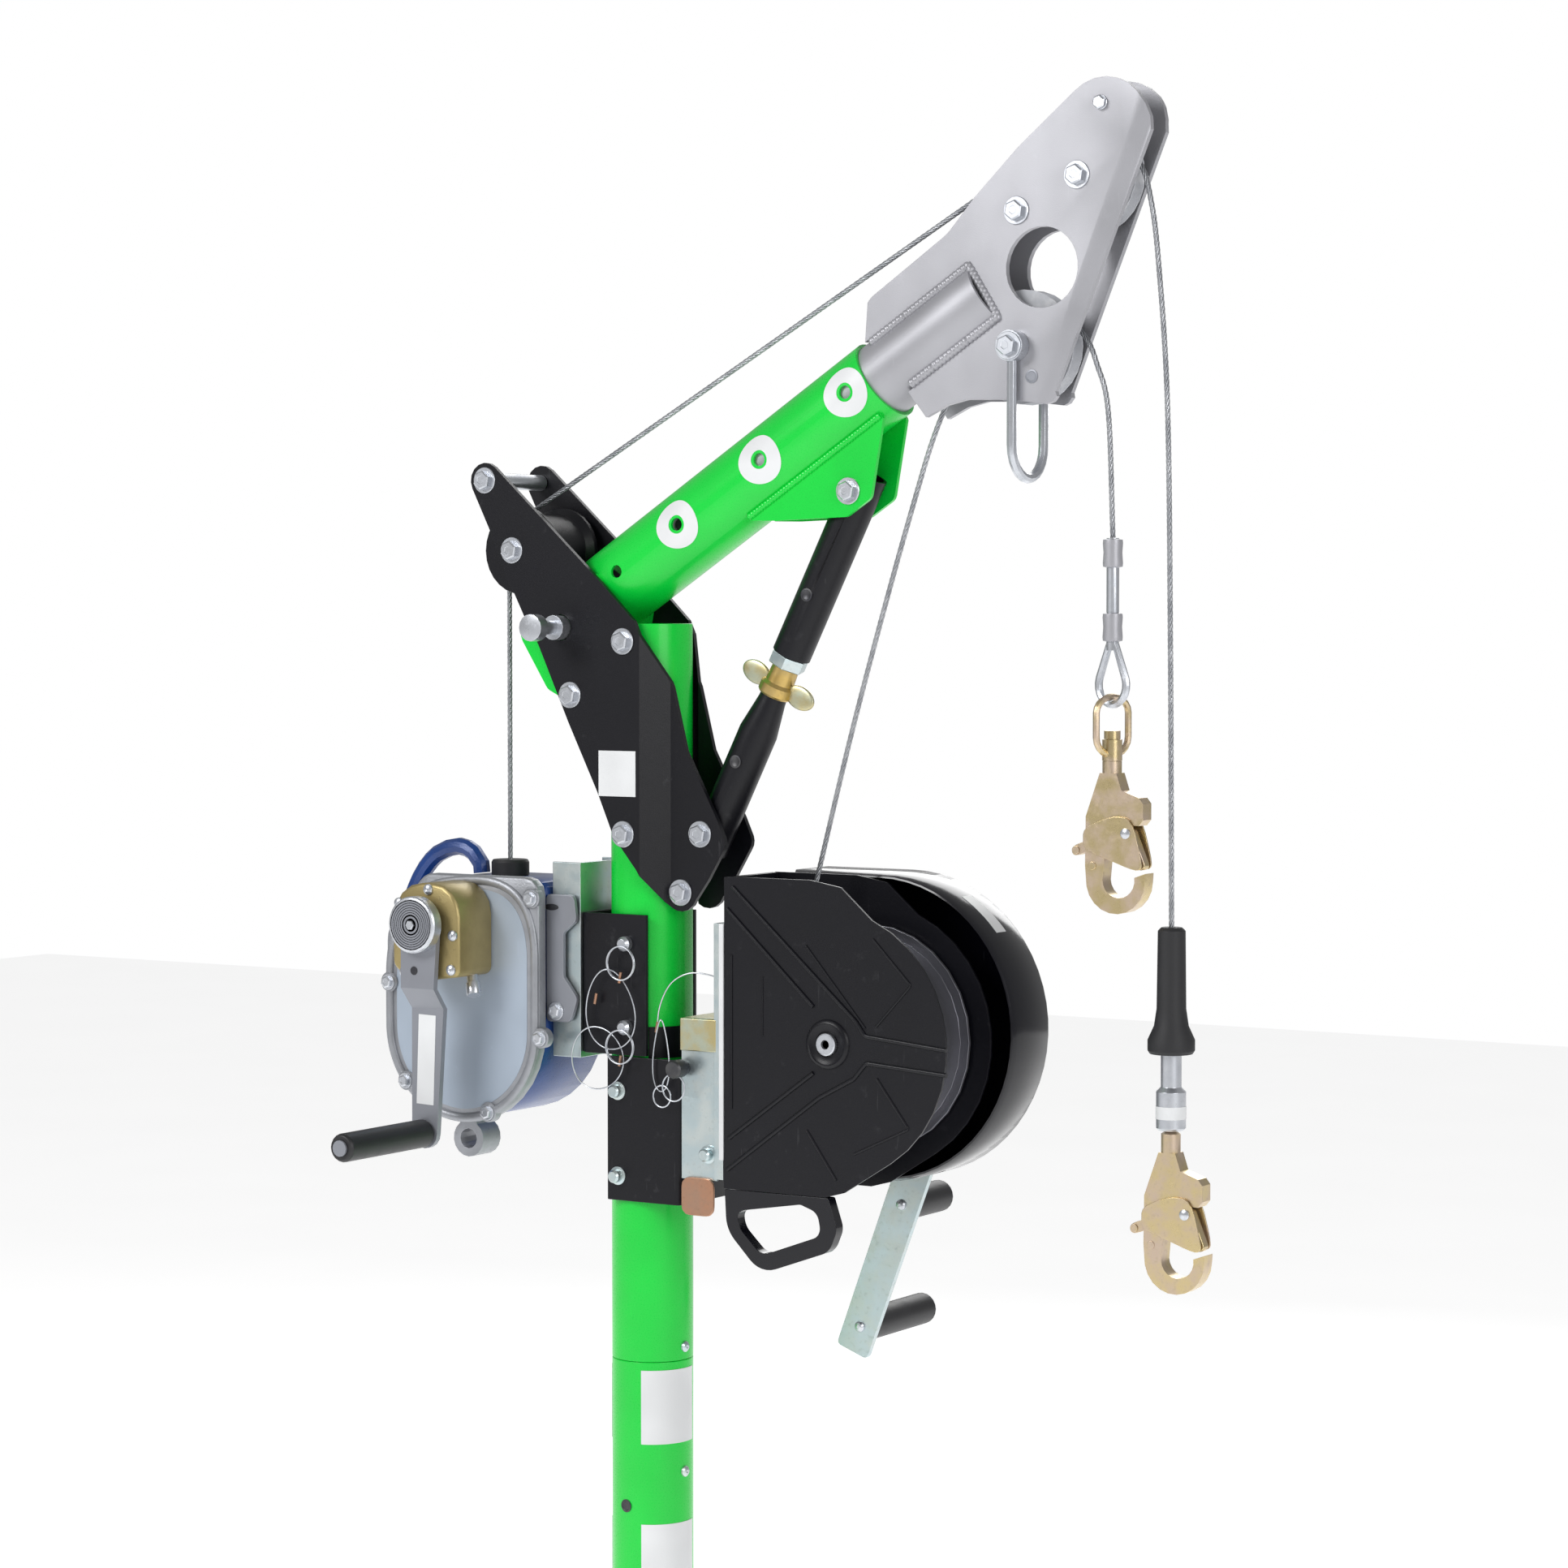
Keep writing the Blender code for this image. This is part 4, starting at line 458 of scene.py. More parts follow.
def moulded(name, colour, roughness, grain=0.0006, depth=0.00005):
    """Rubber or plastic with a fine moulded grain and a dusty bloom in places."""
    material, shader = start_finish(name)
    fine = noise(grain, 2.0)
    dust = noise(0.02, 4.0).over(0.5, 0.75)
    base = (dust * 0.30).blend(colour, shade(colour, 3.0))
    feed(shader, Base_Color=base, Roughness=roughness + dust * 0.1 + (fine - 0.5) * 0.1, Normal=relief(fine, depth))
    return material


GREEN = coated("green paint", (0.001, 0.56, 0.042), 0.28, coat=0.12, mottle=0.05, scuffs=0.35, mirror=0.4)
BLACK = coated("black powder coat", (0.0035, 0.0035, 0.006), 0.36, grain=0.0009, depth=0.0001, scuffs=0.25, mirror=0.3)
RUBBER = moulded("black rubber", (0.010, 0.010, 0.012), 0.60)
STEEL = plated("bright steel", (0.62, 0.64, 0.68), (0.50, 0.52, 0.56), 0.28, stains=0.2)


def dress(node, material, edge=0.0006, sharp=28, segments=2):
    """A welded copy of a CAD node with rounded edges, standing for that node."""
    source = frame["nodes"][node]
    mesh = source.data.copy()
    mesh.name = node + "_made"
    made = bpy.data.objects.new(node + "_made", mesh)
    bpy.context.scene.collection.objects.link(made)
    shape = bmesh.new()
    shape.from_mesh(mesh)
    bmesh.ops.remove_doubles(shape, verts=shape.verts, dist=0.00002)
    bmesh.ops.dissolve_degenerate(shape, edges=shape.edges, dist=0.00002)
    bmesh.ops.dissolve_limit(shape, angle_limit=math.radians(1.0), verts=shape.verts, edges=shape.edges)
    shape.to_mesh(mesh)
    shape.free()
    for attribute in [a.name for a in mesh.attributes if a.name.startswith("custom_normal")]:
        mesh.attributes.remove(mesh.attributes[attribute])
    settle(made, material, source["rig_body"], sharp, edge, segments)
    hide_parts(node)


for node in ("lower_mast", "upper_mast", "boom_tube"):
    dress(node, GREEN, 0.0010)
for node in ("side_plate_near", "side_plate_far"):
    dress(node, BLACK, 0.0014, 20, 3)
dress("idler_roller", BLACK, 0.0008)
dress("mast_foot_plug", RUBBER, 0.0005)
dress("boom_latch_pin", STEEL, 0.0003)


# ---------------------------------------------------------------- bolts
# Zinc plated hexagon bolts with plain washers hold the plates to the mast and carry the sheaves. The head is
# chamfered on its outer face, and the nut on the far side is a little taller.
def lathe(profile, centre, axis=(0.0, -1.0, 0.0), sides=28, phase=0.0):
    """Spins (radius, height) pairs: centre + radius * (cos u * across + sin u * third) + height * axis."""
    axis = np.asarray(axis, float) / np.linalg.norm(axis)
    guide = np.array([0.0, 0.0, 1.0]) if abs(axis[2]) < 0.9 else np.array([1.0, 0.0, 0.0])
    across = np.cross(guide, axis)
    across /= np.linalg.norm(across)
    third = np.cross(axis, across)
    angle = np.linspace(0, 2 * math.pi, sides, endpoint=False) + phase
    radius, height = np.asarray(profile, float).T
    spoke = np.cos(angle)[:, None] * across + np.sin(angle)[:, None] * third
    rings = np.asarray(centre, float) + radius[:, None, None] * spoke + height[:, None, None] * axis
    return skin(rings, caps=False)


def bolt_head(face, axis, across=0.0090, washer=0.0122, height=0.0060):
    """A washer on a face and a chamfered hexagon on the washer."""
    thick = 0.0015
    top = thick + height
    plate = [(0.0, 0.0), (washer, 0.0), (washer, thick - 0.0004), (washer - 0.0004, thick), (0.0, thick)]
    hexagon = [(0.0, thick), (across, thick), (across, top - 0.0011), (across - 0.0014, top)]
    hexagon += [(across * 0.45, top), (across * 0.40, top - 0.0004), (0.0, top - 0.0004)]
    return [lathe(plate, face, axis), lathe(hexagon, face, axis, 6, 0.35)]


def in_mast(x, height, y=0.0):
    """A place from its X, its height from the mast's top and its Y."""
    return np.array([x, y, MAST_TOP + height])


MAST_TOP = 1.3843
HEAD_AND_WASHER = 0.0083
for node, shank, collar in (
    ("boom_pivot_bolt", 0.0050, None),
    ("mast_bolt", 0.0050, None),
    ("strut_foot_bolt", 0.0050, None),
    ("clevis_bolt", 0.0050, None),
    ("upper_sheave_axle", 0.0060, None),
    ("lower_sheave_axle", 0.0060, None),
    ("idler_axle", 0.0050, 0.0060),
    ("spacer_bolt", 0.0050, 0.0075),
):
    low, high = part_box(node)
    spot = (low + high) / 2
    near, far = low.y + HEAD_AND_WASHER, high.y - HEAD_AND_WASHER
    stem = [(0.0, far), (shank, far), (shank, near), (0.0, near)]
    if collar:
        stem = [(0.0, far), (shank, far), (shank, far - 0.006), (collar, far - 0.006), (collar, near + 0.006)]
        stem += [(shank, near + 0.006), (shank, near), (0.0, near)]
    parts = [lathe(stem, (spot.x, 0.0, spot.z), (0.0, 1.0, 0.0))]
    parts += bolt_head((spot.x, near, spot.z), (0.0, -1.0, 0.0))
    parts += bolt_head((spot.x, far, spot.z), (0.0, 1.0, 0.0), height=0.0064)
    made = piece(node + "_made", parts, STEEL, frame["nodes"][node]["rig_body"], 28)
    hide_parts(node)


# ---------------------------------------------------------------- mast and plate fittings
# Two more bolts through the side plates, a blank paper label on the near plate, blank films wrapped round the
# masts, a flat dark disc of painted shade for a pin hole, and two small studs in their walls.
ZINC = plated("zinc plate", (0.50, 0.59, 0.61), (0.56, 0.61, 0.60), 0.30)
# A dark steel finish for the detent pin, also used as painted shade: flat dark discs and films where holes and slots
# open.
HOLE_SHADE_AND_DARK_STEEL = plated("painted hole shade and dark steel", (0.06, 0.06, 0.07), (0.10, 0.10, 0.10), 0.40)
LABEL = coated("label film", (0.66, 0.67, 0.68), 0.35, scuffs=0.3)
PLATE_FACE, NARROW_FACE = 0.0483, 0.0259
parts = []
for place, face in ((in_mast(0.0, -0.0162), PLATE_FACE), (in_mast(0.049, -0.247), NARROW_FACE)):
    parts += bolt_head(place + [0, -face, 0], (0.0, -1.0, 0.0)) + bolt_head(place + [0, face, 0], (0.0, 1.0, 0.0))
piece("plate_bolts", parts, STEEL, "mast", 28)


def slab(low, high):
    """A box as (vertices, faces) from its lowest and highest corners."""
    low, high = np.minimum(low, high), np.maximum(low, high)
    pick = np.array([[i, j, k] for i in (0, 1) for j in (0, 1) for k in (0, 1)])
    faces = [(0, 1, 3, 2), (4, 6, 7, 5), (0, 4, 5, 1), (2, 3, 7, 6), (0, 2, 6, 4), (1, 5, 7, 3)]
    return np.where(pick, high, low), faces


def sheet_on(surface, rows, columns, thick):
    """A thin closed film: surface(u, v) gives points and outward normals for u and v from 0 to 1."""
    u, v = np.meshgrid(np.linspace(0, 1, rows), np.linspace(0, 1, columns), indexing="ij")
    points, normals = surface(u, v)
    verts = np.concatenate([(points + normals * thick).reshape(-1, 3), (points - normals * 0.0002).reshape(-1, 3)])
    at = np.arange(rows * columns).reshape(rows, columns)
    quads = np.stack([at[:-1, :-1], at[1:, :-1], at[1:, 1:], at[:-1, 1:]], axis=2).reshape(-1, 4)
    under = quads[:, ::-1] + rows * columns
    rim = np.concatenate([at[:, 0], at[-1, 1:], at[-2::-1, -1], at[0, -2:0:-1]])
    after = np.roll(rim, -1)
    sides = np.stack([rim, after, after + rows * columns, rim + rows * columns], axis=1)
    return verts, [tuple(q) for q in np.concatenate([quads, under, sides]).tolist()]


def wrapped(axis_point, along, radius, middle_angle, half_angle, low, high, start=(0.0, -1.0, 0.0)):
    """A patch on a cylinder, from its axis, the angle it covers and how far it runs along the axis."""
    along = np.asarray(along, float)
    start = np.asarray(start, float)
    third = np.cross(along, start)

    def surface(u, v):
        angle = middle_angle + half_angle * (2 * u - 1)
        out = np.cos(angle)[..., None] * start + np.sin(angle)[..., None] * third
        return np.asarray(axis_point) + out * radius + (low + (high - low) * v)[..., None] * along, out

    return surface


def on_mast(angle, height, radius):
    """A place on the mast's side and the direction outwards there, from an angle that starts at the near side."""
    outward = np.array([math.sin(angle), -math.cos(angle), 0.0])
    return in_mast(0.0, height) + outward * radius, outward


paper = [slab(in_mast(-0.027, -0.117, -PLATE_FACE - 0.0001), in_mast(0.014, -0.159, -PLATE_FACE + 0.0004))]
piece("plate_label", paper, LABEL, "mast", 28, 0.0001)
UP = (0.0, 0.0, 1.0)
MAST_SURFACE = 0.0381
for name, middle_angle, half, low, high, material, body, slot in (
    ("mast_band_label", 0.95, 0.45, -0.401, -0.372, BLACK, "mast", "black_powder"),
    ("lower_mast_label", 1.08, 0.78, -0.930, -0.836, LABEL, "lower_mast", None),
    ("lower_mast_band", 1.08, 0.78, -0.761, -0.692, LABEL, "lower_mast", None),
    ("lower_mast_label_left", -1.45, 0.50, -0.930, -0.836, LABEL, "lower_mast", None),
    ("lower_mast_band_left", -1.45, 0.50, -0.761, -0.692, LABEL, "lower_mast", None),
):
    film = sheet_on(wrapped(in_mast(0, 0), UP, MAST_SURFACE, middle_angle, half, low, high), 24, 3, 0.0003)
    piece(name, [film], material, body)
eyelet = [(0.0, 0.0), (0.0060, 0.0), (0.0060, 0.0004), (0.0046, 0.0006), (0.0040, 0.0001), (0.0, 0.0001)]
# A thin rim round a flat dark disc: the disc is painted shade where the pin hole opens.
hole = [lathe(eyelet, *on_mast(-0.12, -0.820, MAST_SURFACE))]
piece("lower_mast_eyelet", hole, HOLE_SHADE_AND_DARK_STEEL, "lower_mast", 28)
button = [(0.0, 0.0), (0.0052, 0.0), (0.0050, 0.0016), (0.0036, 0.0030), (0.0016, 0.0034), (0.0, 0.0024)]
for name, height, body in (("upper_mast_stud", -0.672, "mast"), ("lower_mast_stud", -0.789, "lower_mast")):
    stud = [lathe(button, *on_mast(1.486, height, MAST_SURFACE - 0.0004), 20)]
    piece(name, stud, ZINC, body, 35)


# ---------------------------------------------------------------- head, and the boom's fittings
# Two bent silver plates welded to a sliding tube carry the nylon sheaves and a shackle. Round blank stickers
# frame the boom's pin holes, and weld beads run along its lugs and round the head's tube.
SILVER = coated("silver grey paint", (0.36, 0.36, 0.385), 0.40, metallic=0.45, grain=0.0007, depth=0.00008)
GREY = coated("grey paint", (0.24, 0.25, 0.28), 0.40, metallic=0.35)
SHEAVE = moulded("pale nylon", (0.42, 0.43, 0.46), 0.45)
dress("head_tube", SILVER, 0.0008)
for node in ("head_plate_near", "head_plate_far"):
    dress(node, SILVER, 0.0018, 20, 3)
for node in ("upper_sheave", "lower_sheave"):
    dress(node, SHEAVE, 0.0006)
dress("shackle", STEEL, 0.0003)

BOOM_ANGLE = math.radians(32.7)
BOOM_MOUTH, BOOM_RISE, BOOM_RADIUS = 0.4146, 0.0717, 0.038
along_boom = np.array([math.cos(BOOM_ANGLE), 0.0, math.sin(BOOM_ANGLE)])
above_boom = np.array([-math.sin(BOOM_ANGLE), 0.0, math.cos(BOOM_ANGLE)])
pivot = in_mast(-0.0591, -0.0661)


def on_boom(along, above, y=0.0):
    return pivot + along * along_boom + above * above_boom + np.array([0.0, y, 0.0])


def on_head(along, above, y=0.0):
    return on_boom(BOOM_MOUTH + along, BOOM_RISE + above, y)


def ring_on_boom(along, inner, outer, thick):
    """A thin ring laid round a hole in the boom's near side: its points lean back onto the tube as they climb."""
    between = (inner + outer) / 2
    radius = np.array([[inner, between, outer, outer, between, inner]])
    lift = np.array([[thick] * 3 + [-0.0002] * 3])
    angle = np.linspace(0, 2 * math.pi, 48, endpoint=False)[:, None]
    turn = radius * np.sin(angle) / BOOM_RADIUS
    out = np.cos(turn)[..., None] * np.array([0.0, -1.0, 0.0]) + np.sin(turn)[..., None] * above_boom
    run = (along + radius * np.cos(angle))[..., None] * along_boom
    return skin(on_boom(0.0, BOOM_RISE) + run + out * (BOOM_RADIUS + lift)[..., None], closed=True)


stickers = [ring_on_boom(along, 0.0085, 0.0225, 0.0004) for along in (0.1786, 0.2846, 0.3916)]
piece("boom_hole_stickers", stickers, LABEL, "boom", 50)


def bead(path, radius, up, pitch=0.0034):
    """A weld bead: a tube along a path whose radius rises and falls once in each ripple."""
    path = resample(path, 0.0009)
    _, side, normal = frames_along(path, up)
    distance = np.arange(len(path)) * 0.0009
    width = radius * (1 + 0.28 * np.abs(np.sin(math.pi * distance / pitch)))
    angle = np.linspace(0, 2 * math.pi, 10, endpoint=False)
    spoke = np.cos(angle)[None, :, None] * side[:, None, :] + np.sin(angle)[None, :, None] * normal[:, None, :]
    return skin(path[:, None, :] + spoke * width[:, None, None])


lug = 0.0206
under = BOOM_RISE - math.sqrt(BOOM_RADIUS**2 - lug**2)
beads = [bead([on_boom(0.240, under - 0.0005, y), on_boom(0.404, under - 0.0005, y)], 0.0026, (0, 1, 0))
         for y in (-lug - 0.0022, lug + 0.0022)]
piece("clevis_welds", beads, GREEN, "boom", 60)
notch = 0.0270
beads = []
for side in (-1, 1):
    y = side * 0.0222
    corner_top, corner_low = on_head(0.1335, notch, y), on_head(0.1335, -notch, y)
    route = [on_head(0.016, notch, y), corner_top, corner_low, on_head(0.030, -notch, y)]
    beads.append(bead(route, 0.0036, (0, 1, 0), 0.0046))
piece("head_welds", beads, SILVER, "head", 60)
HEAD_FACE = 0.0225
parts = []
for side in (-1.0, 1.0):
    parts += bolt_head(on_head(0.1984, 0.0398, side * HEAD_FACE), (0.0, side, 0.0))
    parts += bolt_head(on_head(0.3147, 0.0694, side * HEAD_FACE), (0.0, side, 0.0), 0.0062, 0.0064, 0.0042)
stem = [(0.0, 0.0165), (0.005, 0.0165), (0.005, -0.0165), (0.0, -0.0165)]
parts.append(lathe(stem, on_head(0.1984, 0.0398), (0.0, 1.0, 0.0)))
piece("head_bolts", parts, STEEL, "head", 28)
parts = [lathe(eyelet, on_head(0.1337, -0.0896, side * HEAD_FACE), (0.0, side, 0.0)) for side in (-1.0, 1.0)]
piece("head_eyelets", parts, GREY, "head", 28)


# ---------------------------------------------------------------- strut
# Two black tubes joined by a screw. A brass sleeve with a hexagon sits under the upper tube, with two flat
# pressed wings to turn it by.
BRASS = plated("brass plate", (0.55, 0.38, 0.12), (0.46, 0.34, 0.14), 0.30)
PASSIVE = plated("yellow passivated zinc", (0.55, 0.47, 0.24), (0.46, 0.50, 0.40), 0.32)
for node in ("strut_lower_tube", "strut_upper_tube"):
    dress(node, BLACK, 0.0008)

strut_foot, strut_top = in_mast(0.0701, -0.1927), on_boom(0.3402, 0.0013)
strut_way = (strut_top - strut_foot) / np.linalg.norm(strut_top - strut_foot)
strut_side = np.cross(strut_way, [0.0, 1.0, 0.0])
NUT_LOW, NUT_HIGH = 0.1433, 0.1841


def ear(centre, reach, height, thick):
    """A flat pressed wing: an ellipsoid whose depth is flattened by raising sin v sin u to the power 0.45."""
    v = np.linspace(0, math.pi, 25)[:, None]
    u = np.linspace(0, 2 * math.pi, 32, endpoint=False)[None, :]
    level = np.cos(v) * np.ones_like(u)
    width = np.sin(v) * np.cos(u)
    depth = np.sin(v) * np.sin(u)
    depth = np.sign(depth) * np.abs(depth) ** 0.45
    points = centre + level[..., None] * strut_side * reach + width[..., None] * strut_way * height
    return skin(points + depth[..., None] * np.array([0.0, thick, 0.0]), caps=False)


sleeve = [(0.0100, NUT_HIGH), (0.0100, NUT_LOW), (0.0150, NUT_LOW), (0.0165, NUT_LOW + 0.002)]
sleeve += [(0.0165, NUT_LOW + 0.010), (0.0135, NUT_LOW + 0.013), (0.0125, NUT_LOW + 0.028), (0.0125, NUT_HIGH)]
piece("strut_nut_sleeve", [lathe(sleeve + sleeve[:1], strut_foot, strut_way, 36)], BRASS, "wing_nut", 30)
hexagon = [(0.0126, NUT_HIGH), (0.0126, NUT_HIGH - 0.0125), (0.0165, NUT_HIGH - 0.0125), (0.0178, NUT_HIGH - 0.0115)]
hexagon += [(0.0178, NUT_HIGH - 0.001), (0.0165, NUT_HIGH), (0.0126, NUT_HIGH)]
piece("strut_hexagon", [lathe(hexagon, strut_foot, strut_way, 6, 0.3)], ZINC, "wing_nut", 28, 0.0003)
wings = [ear(strut_foot + strut_way * (NUT_LOW + 0.010) + strut_side * side * 0.026, 0.0155, 0.0105, 0.0026)
         for side in (-1, 1)]
nut = piece("strut_wing_nut_made", wings, PASSIVE, "wing_nut", 50)
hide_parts("strut_wing_nut")
# Flat dark discs on the strut tubes: painted shade where their pin holes open.
holes = [lathe(eyelet, strut_foot + strut_way * at + np.array([0.0, -0.0181, 0.0]), (0.0, -1.0, 0.0))
         for at in (0.075, 0.245)]
piece("strut_lower_eyelet", holes[:1], HOLE_SHADE_AND_DARK_STEEL, "strut_foot")
piece("strut_upper_eyelet", holes[1:], HOLE_SHADE_AND_DARK_STEEL, "strut_top")


# ---------------------------------------------------------------- lifeline unit
# A blue cast housing on a zinc channel, with a grey cast cover whose rim has bosses for hexagon screws and a
# blank label inside. The gold gearbox has button screws and a pull pin, the crank a turned steel knob.
def cast(name, colour, roughness, metallic, depth=0.00022, coat=0.0):
    """A painted or bare sand-textured casting, its pits darkened with painted shade."""
    material, shader = start_finish(name, Metallic=metallic, Coat_Weight=coat)
    sand = noise(0.0016, 4.0)
    pits = noise(0.0035, 2.0).over(0.66, 0.74)
    tone = noise(0.03, 4.0).over(0.3, 0.7)
    base = tone.blend(shade(colour, 0.9), shade(colour, 1.08))
    # Pits are lower in the bump and darker in colour: the darkening is painted shade in the hollows.
    base = (pits * 0.5).blend(base, shade(colour, 0.6))
    feed(shader, Base_Color=base, Roughness=roughness + (sand - 0.5) * 0.15, Normal=relief(sand - pits * 0.5, depth))
    return material


BLUE = cast("blue paint on casting", (0.006, 0.042, 0.20), 0.30, 0.1, coat=0.1)
COVER = cast("grey casting", (0.31, 0.32, 0.345), 0.42, 0.55)
GOLD = cast("dull gold casting", (0.36, 0.285, 0.125), 0.38, 0.6, depth=0.00012)
GRIP = moulded("grip plastic", (0.012, 0.012, 0.014), 0.46, grain=0.0010, depth=0.0001)
PRINTED = coated("silver label film", (0.36, 0.42, 0.50), 0.34, metallic=0.2, scuffs=0.3)
TURNED = plated("turned steel", (0.60, 0.62, 0.66), (0.55, 0.57, 0.61), 0.33, 0.000006, 0.08)
dress("srl_housing", BLUE, 0.0010)
dress("srl_carry_handle", BLUE, 0.0003)
dress("srl_cover", COVER, 0.0012)
dress("srl_bottom_ring", COVER, 0.0020, 28, 3)
dress("srl_gearbox", GOLD, 0.0020, 28, 3)
dress("srl_side_plate", GREY, 0.0010)
dress("srl_crank", GREY, 0.0008)
dress("srl_crank_grip", GRIP, 0.0010)
dress("srl_rope_outlet", RUBBER, 0.0005)
dress("srl_channel", ZINC, 0.0008)
dress("srl_mount_sleeve", BLACK, 0.0008)
for node in ("srl_drum", "srl_mount_pin_upper", "srl_mount_pin_lower"):
    dress(node, STEEL, 0.0003)

COVER_FACE = -0.0660
srl_spot = in_mast(-0.172, -0.381)
srl_top = MAST_TOP - 0.240


def rounded(loop, keep, times):
    """Cuts each corner of a closed loop, several times over: every side keeps its middle, 2 * keep - 1 of it."""
    for _ in range(times):
        after = np.roll(loop, -1, axis=0)
        loop = np.stack([loop * keep + after * (1 - keep), loop * (1 - keep) + after * keep], axis=1).reshape(-1, 2)
    return loop


def cover_outline(inset):
    """The cover's edge, moved inwards: a half circle below, straight sides, and a cut upper left corner."""
    radius = 0.089 - inset
    angle = np.linspace(-math.pi, 0, 33)
    x, z, top = srl_spot[0], srl_spot[2], srl_top + 0.004 - inset
    low = np.stack([x + radius * np.cos(angle), z + radius * np.sin(angle)], axis=1)
    high = np.array([[x + radius, top], [x - radius + 0.042, top], [x - radius, top - 0.052]])
    return rounded(np.concatenate([low, high]), 0.75, 4)


def ridge(loop, y, width, height):
    """A closed raised bead along a loop in a plane of constant Y."""
    ahead = np.roll(loop, -1, axis=0) - np.roll(loop, 1, axis=0)
    out = np.stack([ahead[:, 1], -ahead[:, 0]], axis=1) / np.linalg.norm(ahead, axis=1, keepdims=True)
    angle = np.linspace(0, 2 * math.pi, 12, endpoint=False)
    x = loop[:, 0, None] + out[:, 0, None] * width * np.cos(angle)
    z = loop[:, 1, None] + out[:, 1, None] * width * np.cos(angle)
    return skin(np.stack([x, y - height * np.sin(angle) + 0 * x, z], axis=2), closed=True)


def panel(loop, y, thick):
    """A flat film with a closed outline at a constant Y."""
    count = len(loop)
    near = np.stack([loop[:, 0], np.full(count, y - thick), loop[:, 1]], axis=1)
    faces = [tuple(range(count)), tuple(range(2 * count - 1, count - 1, -1))]
    faces += [(i, (i + 1) % count, (i + 1) % count + count, i + count) for i in range(count)]
    return np.concatenate([near, near + [0.0, thick + 0.0002, 0.0]]), faces


piece("srl_cover_rim", [ridge(cover_outline(0.0045), COVER_FACE, 0.0042, 0.0030)], COVER, "mast", 60)
boss = [(0.0, -0.006), (0.0095, -0.006), (0.0095, 0.0020), (0.0085, 0.0030), (0.0, 0.0030)]
screws, bosses = [], []
for x, z in ((-0.090, -0.255), (-0.080, -0.385), (-0.140, -0.458), (-0.236, -0.434), (-0.256, -0.341)):
    spot = in_mast(x, z, COVER_FACE)
    bosses.append(lathe(boss, spot, sides=24))
    screws += bolt_head(spot + [0, -0.003, 0], (0.0, -1.0, 0.0), 0.0058, 0.0075, 0.0042)
piece("srl_cover_bosses", bosses, COVER, "mast", 40)
screws += bolt_head(in_mast(-0.075, -0.361, -0.0490), (0.0, -1.0, 0.0), 0.0065, 0.0085, 0.0045)
piece("srl_cover_screws", screws, STEEL, "mast", 28)
inside = cover_outline(0.0130)
piece("srl_cover_label", [panel(inside, COVER_FACE, 0.0004)], PRINTED, "mast", 28)
# A dark film in the shape of the ear's slot: painted shade of the opening.
slot_angle = np.linspace(0, 2 * math.pi, 24, endpoint=False)
slot_loop = np.stack([-0.080 + 0.008 * np.cos(slot_angle), MAST_TOP - 0.264 + 0.0030 * np.sin(slot_angle)], axis=1)
piece("srl_ear_slot", [panel(slot_loop, -0.0490, 0.0002)], HOLE_SHADE_AND_DARK_STEEL, "mast", 28)

GEARBOX_FACE = -0.120
crank_spot = in_mast(-0.1735, -0.2785)
parts = [lathe(button, crank_spot + [dx, GEARBOX_FACE, dz], sides=24)
         for dx, dz in ((0.004, 0.0318), (0.0320, -0.010), (-0.030, 0.018), (-0.024, -0.046), (0.030, -0.042))]
piece("srl_gearbox_screws", parts, STEEL, "mast", 35)
pull = [(0.0, 0.0), (0.0055, 0.0), (0.0055, 0.007), (0.0070, 0.008), (0.0070, 0.018), (0.0060, 0.020), (0.0, 0.020)]
pull_pin = lathe(pull, in_mast(-0.143, -0.3285, -0.088), (0.35, -0.35, -0.85), 24)
piece("srl_pull_pin", [pull_pin], STEEL, "mast", 30)

KNOB_BACK = 0.1302
grooves = [(0.0, 0.0), (0.0264, 0.0), (0.0264, 0.0100), (0.0252, 0.0117), (0.0238, 0.0123)]
for radius in np.arange(0.0215, 0.0090, -0.0022):
    grooves += [(radius + 0.0008, 0.0123), (radius, 0.0119), (radius - 0.0008, 0.0123)]
grooves += [(0.0082, 0.0123), (0.0080, 0.0108), (0.0064, 0.0108), (0.0062, 0.0123), (0.0, 0.0123)]
knob = [lathe(grooves, crank_spot + [0, -KNOB_BACK, 0], sides=56)]
knob += [lathe([(0.0, 0.0), (0.0046, 0.0), (0.0046, 0.0035), (0.0038, 0.0042), (0.0, 0.0042)],
               crank_spot + [0, -KNOB_BACK - 0.0105, 0], sides=6)]
piece("srl_knob_made", knob, TURNED, "srl_crank", 24)
arm_way = np.array([-0.0355, -0.9994])
arm_side = np.array([0.9994, -0.0355])
arm_mid = np.array([-0.1735, MAST_TOP - 0.2785]) + arm_way * 0.128
corners = ((1, 1), (1, -1), (-1, -1), (-1, 1))
quad = np.array([arm_mid + arm_side * i * 0.0098 + arm_way * j * 0.0420 for i, j in corners])
piece("srl_crank_label", [panel(quad, -0.1130, 0.0004)], LABEL, "srl_crank", 28)
# A flat dark disc on the crank arm: painted shade where its hole opens.
small_hole = [(0.0, 0.0), (0.0040, 0.0), (0.0040, 0.0003), (0.0, 0.0003)]
crank_hole = lathe(small_hole, in_mast(-0.179, -0.322, -0.1300))
piece("srl_crank_eyelet", [crank_hole], HOLE_SHADE_AND_DARK_STEEL, "srl_crank", 28)


# ---------------------------------------------------------------- lanyards
# Thin steel cables with split rings keep the detent pins from getting lost. They hang against the sleeves.
COPPER = plated("copper sleeve", (0.45, 0.24, 0.15), (0.38, 0.24, 0.17), 0.35)


